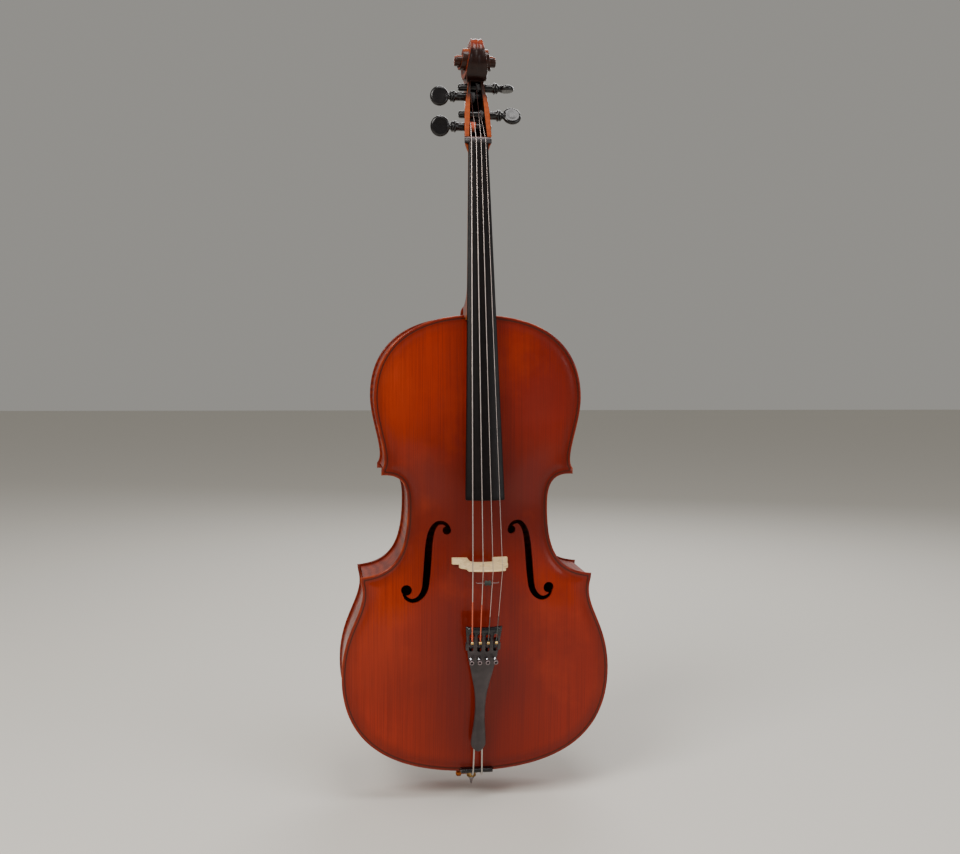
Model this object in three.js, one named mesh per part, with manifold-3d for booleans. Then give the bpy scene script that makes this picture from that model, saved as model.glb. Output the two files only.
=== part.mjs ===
// A full-size cello: hollow arched body, neck with scroll, fittings, strings and pegs.
// Units are millimetres. X runs to the treble side, Y from the belly to the back, Z up along
// the body. The origin is on the endpin's axis, level with the lowest edge of the plates.
import * as THREE from 'three';
import { mergeVertices } from 'three/addons/utils/BufferGeometryUtils.js';
import Module from 'manifold-3d';

// ---- driving dimensions -------------------------------------------------------------------
const BODY_LENGTH = 755;
const RIB_HEIGHT = 116;
const RIB_THICKNESS = 1.8;
const PLATE_EDGE = 4.5;
const OVERHANG = 3.5;
const ARCH_HEIGHT = 22.5;
const GAP = 0.3;

const LOWER_HALF_WIDTH = 222.5;
const WAIST_HALF_WIDTH = 115.5;
const UPPER_HALF_WIDTH = 170.3;

const BOARD_NUT_Z = 1033;
const BOARD_END_Z = 463;
const BOARD_NUT_Y = -42.5;
const BOARD_END_Y = -148.5;
const BOARD_NUT_WIDTH = 32;
const BOARD_END_WIDTH = 62;
const BOARD_CAMBER = 63;
const BOARD_EDGE = 5;

const NUT_LENGTH = 10;
const NUT_HALF_WIDTH = 22;
const NUT_STRING_PITCH = 7.75;
const BRIDGE_STRING_PITCH = 15.5;
const TAIL_STRING_PITCH = 12.9;

const BRIDGE_Z = 357;
const BRIDGE_TOP_Y = -175;
const BRIDGE_HEIGHT = 91;
const BRIDGE_CROWN = 63;
const BRIDGE_FOOT_THICKNESS = 11;
const BRIDGE_TOP_THICKNESS = 2.8;
const BRIDGE_FOOT_BOTTOM = -5;

const PEG_RADIUS = 6.5;
const PEG_DEPTH = 15;
const PEG_HEAD_THICKNESS = 9.6;
const PEG_NECK = 9;
const WINDING_TURNS = 5;

const SCROLL_Y = 7;
const SCROLL_Z = 1173;
const SCROLL_RADIUS = 36;
const SCROLL_WIDTH = 69;

const TAIL_END_Y = -84;
const TAIL_END_Z = 40;
const TAIL_TILT = THREE.MathUtils.degToRad(14.8);
const TAIL_LENGTH = 227;
const TAIL_THICKNESS = 5;
const TUNER_AXLE_Z = 192;
const TUNER_AXLE_DEPTH = 8;
const TUNER_SCREW_Z = 171;
const TUNER_TRAVEL = 5;
const BALL_Z = 203;
const BALL_RISE = 3.5;

const ENDPIN_RADIUS = 5;
const ENDPIN_TIP_Z = -45;
const ENDPIN_TOP_Z = 430;

const PLUG = { shoulderRadius: 15.5, neckRadius: 13.5, tailRadius: 12, top: 34, bottom: -19 };
const COLLAR_END_Z = -31.5;
const THUMB_Z = -25.5;
const SADDLE = { half: 26, depth: 7, top: -72 };
const GUT = { half: 6.5, radius: 1.4, depth: 5.2 };

const HEEL = { foot: 746, ribTop: 768, top: 812, backHalf: 15 };
const SHAFT_DEPTH = { heel: 21, nut: 17 };
const LINING = { thickness: 4, height: 14 };
const END_BLOCK_DEPTH = 22;
const NECK_BLOCK = { half: 55, depth: 32 };
const POST = { x: 24, z: 343, radius: 5.5 };
const BAR = { x: -24, half: 5, from: 85, to: 655, height: 24, endHeight: 8 };
const WINDING_BORE = 7;
const MUTE = { y: -172.9, z: 338, half: 17.4, wireRadius: 0.7 };

const EDGE_Y = RIB_HEIGHT / 2 + PLATE_EDGE;
const INNER_Y = RIB_HEIGHT / 2;
const STRINGS = [
  { name: 'C', place: -1.5, radius: 0.85 },
  { name: 'G', place: -0.5, radius: 0.68 },
  { name: 'D', place: 0.5, radius: 0.52 },
  { name: 'A', place: 1.5, radius: 0.4 },
];

// ---- materials ----------------------------------------------------------------------------
function material(color, roughness, metalness = 0) {
  return new THREE.MeshStandardMaterial({ color, roughness, metalness });
}
const VARNISH = [0x8a2410, 0.32];
const DARK_VARNISH = [0x5f180c, 0.34];
const INNER_WOOD = [0xc79a63, 0.8];
const EBONY = [0x161314, 0.38];
const BRIDGE_MAPLE = [0xc9a26c, 0.55];
const COMPOSITE = [0x2a2829, 0.45];
const STEEL = [0xc4c6c8, 0.28, 1];
const BRASS = [0xb8904a, 0.3, 1];
const RUBBER = [0x2b332d, 0.8];

const cello = new THREE.Group();
function add(parent, name, geometry, look) {
  const mesh = new THREE.Mesh(geometry, material(...look));
  mesh.name = name;
  parent.add(mesh);
  return mesh;
}

// ---- solids -------------------------------------------------------------------------------
const wasm = await Module();
wasm.setup();

function toSolid(geometry) {
  const bare = geometry.clone();
  bare.deleteAttribute('normal');
  bare.deleteAttribute('uv');
  const merged = mergeVertices(bare, 1e-4);
  return new wasm.Manifold(new wasm.Mesh({
    numProp: 3,
    vertProperties: merged.attributes.position.array,
    triVerts: new Uint32Array(merged.index.array),
  }));
}

function toGeometry(solid) {
  const mesh = solid.getMesh();
  const geometry = new THREE.BufferGeometry();
  geometry.setAttribute('position', new THREE.BufferAttribute(mesh.vertProperties, mesh.numProp));
  geometry.setIndex(new THREE.BufferAttribute(mesh.triVerts, 1));
  return geometry;
}

function cut(geometry, ...tools) {
  const solid = tools.reduce((left, tool) => left.subtract(toSolid(tool)), toSolid(geometry));
  return toGeometry(solid);
}

function join(geometry, ...others) {
  const solid = others.reduce((left, other) => left.add(toSolid(other)), toSolid(geometry));
  return toGeometry(solid);
}

function common(geometry, other) {
  return toGeometry(toSolid(geometry).intersect(toSolid(other)));
}

// A closed mesh from points and triangles, turned so that its faces point out.
function closed(points, triangles) {
  let volume = 0;
  const normal = new THREE.Vector3();
  for (const [a, b, c] of triangles) {
    volume += points[a].dot(normal.crossVectors(points[b], points[c]));
  }
  const index = triangles.flatMap(([a, b, c]) => (volume > 0 ? [a, b, c] : [a, c, b]));
  const geometry = new THREE.BufferGeometry().setFromPoints(points);
  geometry.setIndex(index);
  return geometry;
}

// A closed skin through rings of equal length; the two end rings are filled in.
function loft(rings) {
  const size = rings[0].length;
  const points = rings.flat();
  const triangles = [];
  for (let ring = 0; ring < rings.length - 1; ring += 1) {
    for (let side = 0; side < size; side += 1) {
      const a = ring * size + side;
      const b = ring * size + ((side + 1) % size);
      triangles.push([a, b, b + size], [a, b + size, a + size]);
    }
  }
  for (const [ring, flip] of [[0, true], [rings.length - 1, false]]) {
    const start = ring * size;
    for (const [a, b, c] of capTriangles(rings[ring])) {
      triangles.push(flip ? [start + a, start + c, start + b] : [start + a, start + b, start + c]);
    }
  }
  return closed(points, triangles);
}

function capTriangles(ring) {
  const normal = new THREE.Vector3();
  ring.forEach((point, place) => {
    const next = ring[(place + 1) % ring.length];
    normal.add(new THREE.Vector3().crossVectors(point, next));
  });
  const turn = new THREE.Quaternion().setFromUnitVectors(normal.normalize(), new THREE.Vector3(0, 0, 1));
  const flat = ring.map((point) => {
    const turned = point.clone().applyQuaternion(turn);
    return new THREE.Vector2(turned.x, turned.y);
  });
  return THREE.ShapeUtils.triangulateShape(flat, []);
}

// A flat shape drawn in X and Z, given thickness from y = from to y = to.
function slabY(shape, from, to, curveSegments = 8) {
  const geometry = new THREE.ExtrudeGeometry(shape, {
    depth: to - from, bevelEnabled: false, curveSegments,
  });
  return geometry.rotateX(Math.PI / 2).translate(0, to, 0);
}

// A flat shape drawn in Y and Z, given thickness from x = from to x = to.
function slabX(shape, from, to, curveSegments = 8) {
  const geometry = new THREE.ExtrudeGeometry(shape, {
    depth: to - from, bevelEnabled: false, curveSegments,
  });
  const turn = new THREE.Matrix4().makeBasis(
    new THREE.Vector3(0, 1, 0), new THREE.Vector3(0, 0, 1), new THREE.Vector3(1, 0, 0),
  );
  return geometry.applyMatrix4(turn).translate(from, 0, 0);
}

function box(x0, x1, y0, y1, z0, z1) {
  const geometry = new THREE.BoxGeometry(x1 - x0, y1 - y0, z1 - z0);
  return geometry.translate((x0 + x1) / 2, (y0 + y1) / 2, (z0 + z1) / 2);
}

function polygon(points) {
  return new THREE.Shape(points.map(([a, b]) => new THREE.Vector2(a, b)));
}

// A turned solid about the Z axis from its half profile, each point [radius, height].
function turned(profile, sides = 20) {
  return new THREE.LatheGeometry(profile.map(([r, z]) => new THREE.Vector2(r, z)), sides)
    .rotateX(Math.PI / 2);
}

function rod(radius, from, to, sides = 16) {
  return turned([[0, from], [radius, from], [radius, to], [0, to]], sides);
}

// A round tube through points, with a section of equal sides.
function tube(points, radius, steps, sides = 8) {
  const section = new THREE.Shape();
  for (let side = 0; side < sides; side += 1) {
    const angle = (side / sides) * Math.PI * 2;
    section[side ? 'lineTo' : 'moveTo'](radius * Math.cos(angle), radius * Math.sin(angle));
  }
  const extrudePath = new THREE.CatmullRomCurve3(points, false, 'centripetal');
  return new THREE.ExtrudeGeometry(section, { steps, extrudePath, bevelEnabled: false });
}

function lerp(a, b, t) {
  return a + (b - a) * t;
}

// ---- body outline -------------------------------------------------------------------------
// The treble half of the plates' outline, from the bottom centre up to the top centre. Each
// stretch is one curve with its own number of steps; the two corners have short square ends.
function stretch(steps, ...numbers) {
  const [a, b, c, d] = [0, 2, 4, 6].map((at) => new THREE.Vector2(numbers[at], numbers[at + 1]));
  return { steps, curve: new THREE.CubicBezierCurve(a, b, c, d) };
}
const LOWER_CORNER = { x: 191, bottom: 319, top: 328.5 };
const UPPER_CORNER = { x: 158, bottom: 494.5, top: 504 };
const lowerEnd = stretch(10, 0, 0, 146, 0, LOWER_HALF_WIDTH, 56, LOWER_HALF_WIDTH, 165);
const lowerSide = stretch(
  8, LOWER_HALF_WIDTH, 165, LOWER_HALF_WIDTH, 245, 177, 273, LOWER_CORNER.x, LOWER_CORNER.bottom,
);
const waistLower = stretch(
  8, LOWER_CORNER.x + 1, LOWER_CORNER.top, 132, 333, WAIST_HALF_WIDTH, 370, WAIST_HALF_WIDTH, 445,
);
const waistUpper = stretch(
  6, WAIST_HALF_WIDTH, 445, WAIST_HALF_WIDTH, 478, 124, 497, UPPER_CORNER.x, UPPER_CORNER.bottom,
);
const upperSide = stretch(
  7, UPPER_CORNER.x, UPPER_CORNER.top, 143, 520, UPPER_HALF_WIDTH, 575, UPPER_HALF_WIDTH, 620,
);
const upperEnd = stretch(
  10, UPPER_HALF_WIDTH, 620, UPPER_HALF_WIDTH, 700, 116, BODY_LENGTH, 0, BODY_LENGTH,
);

// Points along a stretch between two of its steps, moved inwards by a distance.
function along({ steps, curve }, inset = 0, from = 0, to = steps) {
  const places = [from];
  for (let step = Math.floor(from) + 1; step < to; step += 1) {
    places.push(step);
  }
  places.push(to);
  return places.map((place) => {
    const point = curve.getPoint(place / steps);
    const tangent = curve.getTangent(place / steps);
    return [point.x - tangent.y * inset, point.y + tangent.x * inset];
  });
}

// Several stretches one after the other, with the points that they share kept once.
function chain(stretches, inset = 0) {
  const points = stretches.flatMap(([bout, from, to]) => along(bout, inset, from, to));
  return points.filter(([x, z], order) => {
    const [lastX, lastZ] = order ? points[order - 1] : [Infinity, Infinity];
    return Math.hypot(x - lastX, z - lastZ) > 0.01;
  });
}

const outline = chain([
  [lowerEnd], [lowerSide], [waistLower], [waistUpper], [upperSide], [upperEnd],
]);

// ---- arched plates ------------------------------------------------------------------------
function smooth(t) {
  const clamped = Math.min(Math.max(t, 0), 1);
  return clamped * clamped * (3 - 2 * clamped);
}

function archHalfWidth(z) {
  const waist = WAIST_HALF_WIDTH - 6;
  if (z < 440) {
    return lerp(waist, LOWER_HALF_WIDTH - 8, smooth((440 - z) / 240));
  }
  return lerp(waist, UPPER_HALF_WIDTH - 8, smooth((z - 440) / 150));
}

// Height of the arching above the plate's edge at a place on the plate.
function archRise(x, z) {
  const across = Math.min(Math.abs(x) / archHalfWidth(z), 1);
  const lengthwise = Math.min(Math.abs(z - 385) / 378, 1);
  return ARCH_HEIGHT * (1 - across ** 2.2) ** 2 * (1 - lengthwise ** 3.2) ** 1.8;
}

function spineHeight(z) {
  const stations = [[0, 75], [319, 308], [504, 512], [BODY_LENGTH, 690]];
  const upper = stations.findIndex(([from]) => z <= from) || 1;
  const [z0, s0] = stations[upper - 1];
  const [z1, s1] = stations[upper];
  return lerp(s0, s1, (z - z0) / (z1 - z0));
}

// One skin of a plate as rows of points: outline rows narrow down to the centre line.
function plateSkin(fractions, height, points, triangles) {
  const rows = fractions.length;
  const place = new Map();
  function vertex(side, station, row) {
    const [edgeX, edgeZ] = outline[station];
    const x = edgeX * (1 - fractions[row]) * side;
    const key = `${x === 0 ? 0 : side} ${station} ${row}`;
    if (!place.has(key)) {
      const z = lerp(edgeZ, spineHeight(edgeZ), fractions[row]);
      place.set(key, points.length);
      points.push(new THREE.Vector3(x, height(x, z), z));
    }
    return place.get(key);
  }
  for (const side of [1, -1]) {
    for (let station = 0; station < outline.length - 1; station += 1) {
      for (let row = 0; row < rows - 1; row += 1) {
        const a = vertex(side, station, row);
        const b = vertex(side, station + 1, row);
        const c = vertex(side, station + 1, row + 1);
        const d = vertex(side, station, row + 1);
        triangles.push(side > 0 ? [a, b, c] : [a, c, b], side > 0 ? [a, c, d] : [a, d, c]);
      }
    }
  }
  return vertex;
}

// facing is -1 for the belly and 1 for the back.
function archedPlate(facing) {
  const points = [];
  const outerTriangles = [];
  const innerTriangles = [];
  const outerRows = [0, 0.12, 0.32, 0.6, 1];
  const innerRows = [0, 0.2, 0.55, 1];
  const outer = plateSkin(outerRows, (x, z) => facing * (EDGE_Y + archRise(x, z)), points,
    outerTriangles);
  const inner = plateSkin(innerRows, (x, z) => facing * (INNER_Y + 0.97 * archRise(x, z)), points,
    innerTriangles);
  const triangles = [...outerTriangles, ...innerTriangles.map(([a, b, c]) => [a, c, b])];
  for (const side of [1, -1]) {
    for (let station = 0; station < outline.length - 1; station += 1) {
      const a = outer(side, station, 0);
      const b = outer(side, station + 1, 0);
      const c = inner(side, station + 1, 0);
      const d = inner(side, station, 0);
      triangles.push(side > 0 ? [a, c, b] : [a, b, c], side > 0 ? [a, d, c] : [a, c, d]);
    }
  }
  return closed(points, triangles);
}

// ---- sound holes --------------------------------------------------------------------------
const F_HOLE = {
  upperEye: [53, 406], upperEyeRadius: 6.8, lowerEye: [117.5, 307.5], lowerEyeRadius: 8.7,
  middle: [83.5, 355], stemHalfWidth: 5.9, nick: 2,
};

function soundHoleTools(side) {
  const [x, z] = F_HOLE.middle;
  // Along the middle of the slot, from eye to eye: across, up, and half the slot's width.
  const centre = new THREE.CatmullRomCurve3([
    [48.5, 405, 2.2], [51.5, 413, 2.6], [59, 418, 2.9], [68.5, 416.5, 3.6], [76.5, 405, 4.8],
    [81, 385, 5.6], [x, z, F_HOLE.stemHalfWidth], [85.5, 330, 5.8], [88.5, 309, 5.3],
    [96.5, 296, 4.3], [107, 290.8, 3.6], [117, 294, 3], [122.5, 302, 2.2],
  ].map((place) => new THREE.Vector3(...place)), false, 'catmullrom', 0.5);
  const steps = 30;
  const left = [];
  const right = [];
  for (let step = 0; step <= steps; step += 1) {
    const t = step / steps;
    const point = centre.getPoint(t);
    const tangent = centre.getTangent(t).setZ(0).normalize();
    const half = point.z;
    left.push([point.x - tangent.y * half, point.y + tangent.x * half]);
    right.unshift([point.x + tangent.y * half, point.y - tangent.x * half]);
  }
  const reach = F_HOLE.stemHalfWidth + F_HOLE.nick;
  const outlines = [
    [...left, ...right],
    [[x - reach, z + 1.5], [x, z - 2], [x + reach, z - 1], [x, z + 2.5]],
  ];
  for (const [[eyeX, eyeZ], radius] of [
    [F_HOLE.upperEye, F_HOLE.upperEyeRadius], [F_HOLE.lowerEye, F_HOLE.lowerEyeRadius],
  ]) {
    const sides = 16;
    outlines.push(Array.from({ length: sides }, (_, place) => {
      const angle = (place / sides) * Math.PI * 2;
      return [eyeX + radius * Math.cos(angle), eyeZ + radius * Math.sin(angle)];
    }));
  }
  return outlines.map((points) => slabY(
    polygon(points.map(([px, pz]) => [px * side, pz])), -EDGE_Y - 30, -40,
  ));
}

// ---- neck, heel, pegbox and scroll --------------------------------------------------------
function boardY(z) {
  return lerp(BOARD_NUT_Y, BOARD_END_Y, (BOARD_NUT_Z - z) / (BOARD_NUT_Z - BOARD_END_Z));
}

function boardHalfWidth(z) {
  return lerp(BOARD_NUT_WIDTH, BOARD_END_WIDTH, (BOARD_NUT_Z - z) / (BOARD_NUT_Z - BOARD_END_Z)) / 2;
}

function camber(x) {
  return BOARD_CAMBER - Math.sqrt(BOARD_CAMBER ** 2 - x * x);
}

// The plane where the fingerboard is glued to the neck.
function glueY(z) {
  return boardY(z) + camber(boardHalfWidth(z)) + BOARD_EDGE;
}

function neckRing(z, frontY, backY, frontHalf, backHalf, grow) {
  const steps = 10;
  const ring = [];
  for (let step = 0; step <= steps; step += 1) {
    const angle = (step / steps) * Math.PI;
    const half = lerp(frontHalf, backHalf, Math.sin(angle) ** 2) + grow;
    const y = lerp(frontY - grow, backY + grow, Math.sin(angle) ** 0.8);
    ring.push(new THREE.Vector3(half * Math.cos(angle), y, z));
  }
  return ring;
}

function neckShaft(grow = 0) {
  const rings = [];
  for (const t of [0, 0.12, 0.2, 0.3, 0.42, 0.56, 0.72, 0.88, 1]) {
    const z = lerp(HEEL.foot - grow, HEEL.top, t);
    const sweep = (1 - Math.max(0, (z - HEEL.ribTop) / (HEEL.top - HEEL.ribTop))) ** 2.6;
    const backY = lerp(glueY(z) + SHAFT_DEPTH.heel, INNER_Y - GAP, sweep);
    const half = boardHalfWidth(z);
    rings.push(neckRing(z, glueY(z) + GAP, backY, half, lerp(half, HEEL.backHalf, sweep), grow));
  }
  const shaftTop = BOARD_NUT_Z + 3;
  for (const z of [870, 940, 1000, shaftTop]) {
    const half = boardHalfWidth(z);
    const share = (z - HEEL.top) / (shaftTop - HEEL.top);
    const depth = lerp(SHAFT_DEPTH.heel, SHAFT_DEPTH.nut, share);
    rings.push(neckRing(z, glueY(z) + GAP, glueY(z) + depth, half, half, grow));
  }
  return loft(rings);
}

// Side view of the pegbox and the outer turn of the scroll, from the nut round to the chin.
function headSide() {
  const shape = new THREE.Shape();
  shape.moveTo(-39, BOARD_NUT_Z);
  shape.lineTo(-38, BOARD_NUT_Z + NUT_LENGTH);
  shape.lineTo(-7, 1137);
  shape.bezierCurveTo(-3, 1147, -14, 1146, -22, 1155);
  shape.bezierCurveTo(-38, 1174, -26, SCROLL_Z + SCROLL_RADIUS, 6, SCROLL_Z + SCROLL_RADIUS);
  shape.bezierCurveTo(32, SCROLL_Z + SCROLL_RADIUS, 46, 1189, 45, 1165);
  shape.bezierCurveTo(44, 1135, 28, 1095, 12, 1062);
  shape.bezierCurveTo(6, 1050, 2, 1040, -6, BOARD_NUT_Z - 4);
  shape.lineTo(-14, BOARD_NUT_Z - 8);
  shape.lineTo(-34, BOARD_NUT_Z - 2);
  return shape;
}

function headFront() {
  const half = [[16.5, 1024], [21.5, 1030], [22.5, 1037], [21.3, 1070], [20.4, 1090], [19, 1102],
    [16.4, 1115], [13.5, 1127], [13, 1138], [16.5, 1141], [16.5, 1150], [12.5, 1180], [9, 1212]];
  return polygon([...half, ...half.map(([x, z]) => [-x, z]).reverse()]);
}

// The volute: each inner turn is smaller and stands further out to the sides.
function voluteTurns() {
  const turns = [];
  const count = 18;
  for (const [radius, width, shrink] of [[29, 38, 6], [22, 47, 5], [13, SCROLL_WIDTH, 4]]) {
    const points = Array.from({ length: count }, (_, place) => {
      const angle = (place / count) * Math.PI * 2;
      const reach = radius - (shrink * place) / count;
      return [SCROLL_Y + 2 + reach * Math.sin(angle), SCROLL_Z + reach * Math.cos(angle)];
    });
    turns.push(slabX(polygon(points), -width / 2, width / 2));
  }
  return turns;
}

function pegboxFrontY(z) {
  return lerp(-38, -7, (z - BOARD_NUT_Z - NUT_LENGTH) / (1137 - BOARD_NUT_Z - NUT_LENGTH));
}

function mortise() {
  const side = polygon([
    [-60, 1043.2], [-32, 1043.2], [-16, 1048], [-6, 1056], [33, 1134], [8, 1141], [-60, 1141],
  ]);
  const half = [[14.5, 1043], [13.5, 1075], [11.6, 1102], [10.6, 1115], [9.9, 1123], [8.2, 1128],
    [7.6, 1142]];
  const front = polygon([...half, ...half.map(([x, z]) => [-x, z]).reverse()]);
  return common(slabX(side, -16, 16), slabY(front, -70, 50));
}

const PEGS = [
  { name: 'C', z: 1062, side: -1, turn: 0.1, windFrom: -12, tip: 24, collar: 34, head: 16.5 },
  { name: 'A', z: 1083, side: 1, turn: -0.55, windFrom: 5.5, tip: 29, collar: 34, head: 16 },
  { name: 'G', z: 1114, side: -1, turn: -0.08, windFrom: -9.5, tip: 19.5, collar: 34, head: 16 },
  { name: 'D', z: 1130, side: 1, turn: 1.5, windFrom: 0.5, tip: 28, collar: 30, head: 13 },
];
for (const peg of PEGS) {
  peg.y = pegboxFrontY(peg.z) + PEG_DEPTH;
}

function pegBore(peg) {
  return rod(PEG_RADIUS + 0.6, -40, 40, 20).rotateY(Math.PI / 2).translate(0, peg.y, peg.z);
}

function neckAndScroll() {
  const head = common(slabX(headSide(), -30, 30, 7), slabY(headFront(), -60, 60));
  const nutSeat = box(-30, 30, -70, glueY(BOARD_NUT_Z + 5) + GAP, BOARD_NUT_Z - GAP,
    BOARD_NUT_Z + NUT_LENGTH + GAP);
  const boardSeat = box(-30, 30, -70, glueY(BOARD_NUT_Z) + GAP, BOARD_NUT_Z - 14,
    BOARD_NUT_Z + GAP);
  return cut(join(head, neckShaft(), ...voluteTurns()), mortise(), nutSeat, boardSeat,
    ...PEGS.map(pegBore));
}

// ---- fingerboard and nut ------------------------------------------------------------------
function boardRing(z, bottomY, half, topY) {
  const ring = [];
  const steps = 8;
  for (let step = 0; step <= steps; step += 1) {
    const x = lerp(-half, half, step / steps);
    ring.push(new THREE.Vector3(x, topY + camber(x), z));
  }
  ring.push(new THREE.Vector3(half, bottomY, z), new THREE.Vector3(-half, bottomY, z));
  return ring;
}

function fingerboard() {
  return loft([BOARD_END_Z, 740, BOARD_NUT_Z].map(
    (z) => boardRing(z, glueY(z), boardHalfWidth(z), boardY(z)),
  ));
}

function nut() {
  const bottom = BOARD_NUT_Z + GAP;
  const seat = glueY(BOARD_NUT_Z + 5);
  return loft([[bottom, -42.4], [bottom + 5, -42.7], [bottom + NUT_LENGTH - GAP, -39]].map(
    ([z, topY]) => boardRing(z, seat, NUT_HALF_WIDTH, topY),
  ));
}

// ---- ribs, blocks and linings -------------------------------------------------------------
const RIB_STRETCHES = {
  lower: [[lowerEnd, 0.02, 10], [lowerSide, 0, 7.72]],
  centre: [[waistLower, 0.28, 8], [waistUpper, 0, 5.7]],
  upper: [[upperSide, 0.28, 7], [upperEnd, 0, 9.25]],
};

function rib(stretches, side) {
  const outer = chain(stretches, OVERHANG);
  const inner = chain(stretches, OVERHANG + RIB_THICKNESS);
  const ring = [...outer, ...inner.reverse()].map(([x, z]) => [x * side, z]);
  return cut(slabY(polygon(ring), -INNER_Y + GAP, INNER_Y - GAP), plugBore());
}

const LINING_INSET = OVERHANG + RIB_THICKNESS + GAP;
// The parts of the outline that the linings follow; they run straight across the corners.
const LINING_STRETCHES = [
  [lowerEnd, 0, 10], [lowerSide, 0, 7], [waistLower, 2, 8], [waistUpper, 0, 4],
  [upperSide, 2, 7], [upperEnd, 0, 10],
];

function ringShape(inset) {
  const half = chain(LINING_STRETCHES, inset).filter(([x]) => x > 1);
  const bottom = [0, inset];
  const top = [0, BODY_LENGTH - inset];
  return [bottom, ...half, top, ...half.map(([x, z]) => [-x, z]).reverse()];
}

function liningRing(facing, grow = 0) {
  const from = INNER_Y - GAP - LINING.height - grow;
  const to = INNER_Y - GAP + grow;
  const shape = polygon(ringShape(LINING_INSET - grow));
  const hole = new THREE.Path(ringShape(LINING_INSET + LINING.thickness + grow)
    .map(([x, z]) => new THREE.Vector2(x, z)));
  shape.holes.push(hole);
  return facing < 0 ? slabY(shape, -to, -from) : slabY(shape, from, to);
}

function lining(facing) {
  return cut(liningRing(facing), neckShaft(GAP));
}

function block(ring) {
  return cut(slabY(polygon(ring), -INNER_Y + GAP, INNER_Y - GAP),
    liningRing(-1, GAP), liningRing(1, GAP));
}

function cornerBlock(stretches, side) {
  const ring = chain(stretches, LINING_INSET + 0.2);
  return block(ring.map(([x, z]) => [x * side, z]));
}

function mirroredRing(half) {
  return [...half, ...half.map(([x, z]) => [-x, z]).reverse()];
}

function endBlock() {
  const [middle, corner] = along(lowerEnd, LINING_INSET, 0.02, 1);
  const half = [middle, corner, [corner[0], LINING_INSET + END_BLOCK_DEPTH]];
  return cut(block(mirroredRing(half)), plugBore());
}

function neckBlock() {
  const top = BODY_LENGTH - LINING_INSET;
  const [, corner] = along(upperEnd, LINING_INSET, 8, 9);
  const half = [[NECK_BLOCK.half, top - NECK_BLOCK.depth], [NECK_BLOCK.half, corner[1] - 6], corner,
    [22, top - 1]];
  return cut(block(mirroredRing(half)), neckShaft(GAP));
}

// ---- endpin -------------------------------------------------------------------------------
function plugBore() {
  return turned([[0, -30], [PLUG.neckRadius + 0.6, -30], [PLUG.neckRadius + 0.6, 8],
    [PLUG.tailRadius + 0.6, 50], [0, 50]], 20);
}

function endpinPlug() {
  const bore = ENDPIN_RADIUS + 0.7;
  return turned([
    [bore, PLUG.top], [bore, PLUG.bottom], [8.6, PLUG.bottom], [11, -17], [14.5, -13],
    [PLUG.shoulderRadius, -10], [PLUG.shoulderRadius - 0.6, -8], [PLUG.neckRadius, -6],
    [PLUG.neckRadius, 6], [PLUG.tailRadius, PLUG.top], [bore, PLUG.top],
  ], 24);
}

function endpinCollar() {
  const bore = ENDPIN_RADIUS + 0.7;
  const top = PLUG.bottom - GAP;
  const ring = turned([
    [bore, top], [bore, COLLAR_END_Z], [7, COLLAR_END_Z], [8.2, COLLAR_END_Z + 1.2], [8.2, top],
    [bore, top],
  ], 24);
  return cut(ring, rod(2.3, 0, 20, 12).rotateY(-Math.PI / 2).translate(0, 0, THUMB_Z));
}

function thumbScrew() {
  const shank = turned([[0, ENDPIN_RADIUS + 0.3], [2, ENDPIN_RADIUS + 0.3], [2, 17], [3.4, 17.6],
    [5.2, 19], [5.2, 24], [4, 26.5], [0, 27]], 16);
  return shank.rotateY(-Math.PI / 2).translate(0, 0, THUMB_Z);
}

function endpinRod() {
  return turned([[0, ENDPIN_TIP_Z], [0.8, ENDPIN_TIP_Z + 1], [3.2, ENDPIN_TIP_Z + 9],
    [ENDPIN_RADIUS, ENDPIN_TIP_Z + 10.5], [ENDPIN_RADIUS, ENDPIN_TOP_Z], [0, ENDPIN_TOP_Z]], 20);
}

// ---- bridge, post and bar -----------------------------------------------------------------
// The bridge is drawn with its height upwards from the belly, then laid over to stand on it.
function bridgeFace() {
  const shape = new THREE.Shape();
  const crownCorner = 29;
  shape.moveTo(20.5, BRIDGE_FOOT_BOTTOM);
  shape.lineTo(45.5, BRIDGE_FOOT_BOTTOM);
  shape.lineTo(45, 5);
  shape.bezierCurveTo(38, 9, 29, 8, 27, 22);
  shape.bezierCurveTo(26, 32, 27, 35, 33, 36);
  shape.lineTo(38.5, 36.5);
  shape.bezierCurveTo(40, 43, 38.5, 54, 33, 58);
  shape.bezierCurveTo(29, 62, 31, 74, crownCorner, 84);
  const steps = 10;
  for (let step = 0; step <= steps; step += 1) {
    const x = lerp(crownCorner, -crownCorner, step / steps);
    shape.lineTo(x, BRIDGE_HEIGHT + Math.sqrt(BRIDGE_CROWN ** 2 - x * x) - BRIDGE_CROWN);
  }
  shape.lineTo(-crownCorner, 84);
  shape.bezierCurveTo(-31, 74, -29, 62, -33, 58);
  shape.bezierCurveTo(-38.5, 54, -40, 43, -38.5, 36.5);
  shape.lineTo(-33, 36);
  shape.bezierCurveTo(-27, 35, -26, 32, -27, 22);
  shape.bezierCurveTo(-29, 8, -38, 9, -45, 5);
  shape.lineTo(-45.5, BRIDGE_FOOT_BOTTOM);
  shape.lineTo(-20.5, BRIDGE_FOOT_BOTTOM);
  shape.bezierCurveTo(-20.5, 8, -19.5, 16, -18.8, 22);
  shape.bezierCurveTo(-17.5, 29, -12, 31, 0, 31);
  shape.bezierCurveTo(12, 31, 17.5, 29, 18.8, 22);
  shape.bezierCurveTo(19.5, 16, 20.5, 8, 20.5, BRIDGE_FOOT_BOTTOM);
  return shape;
}

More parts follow.
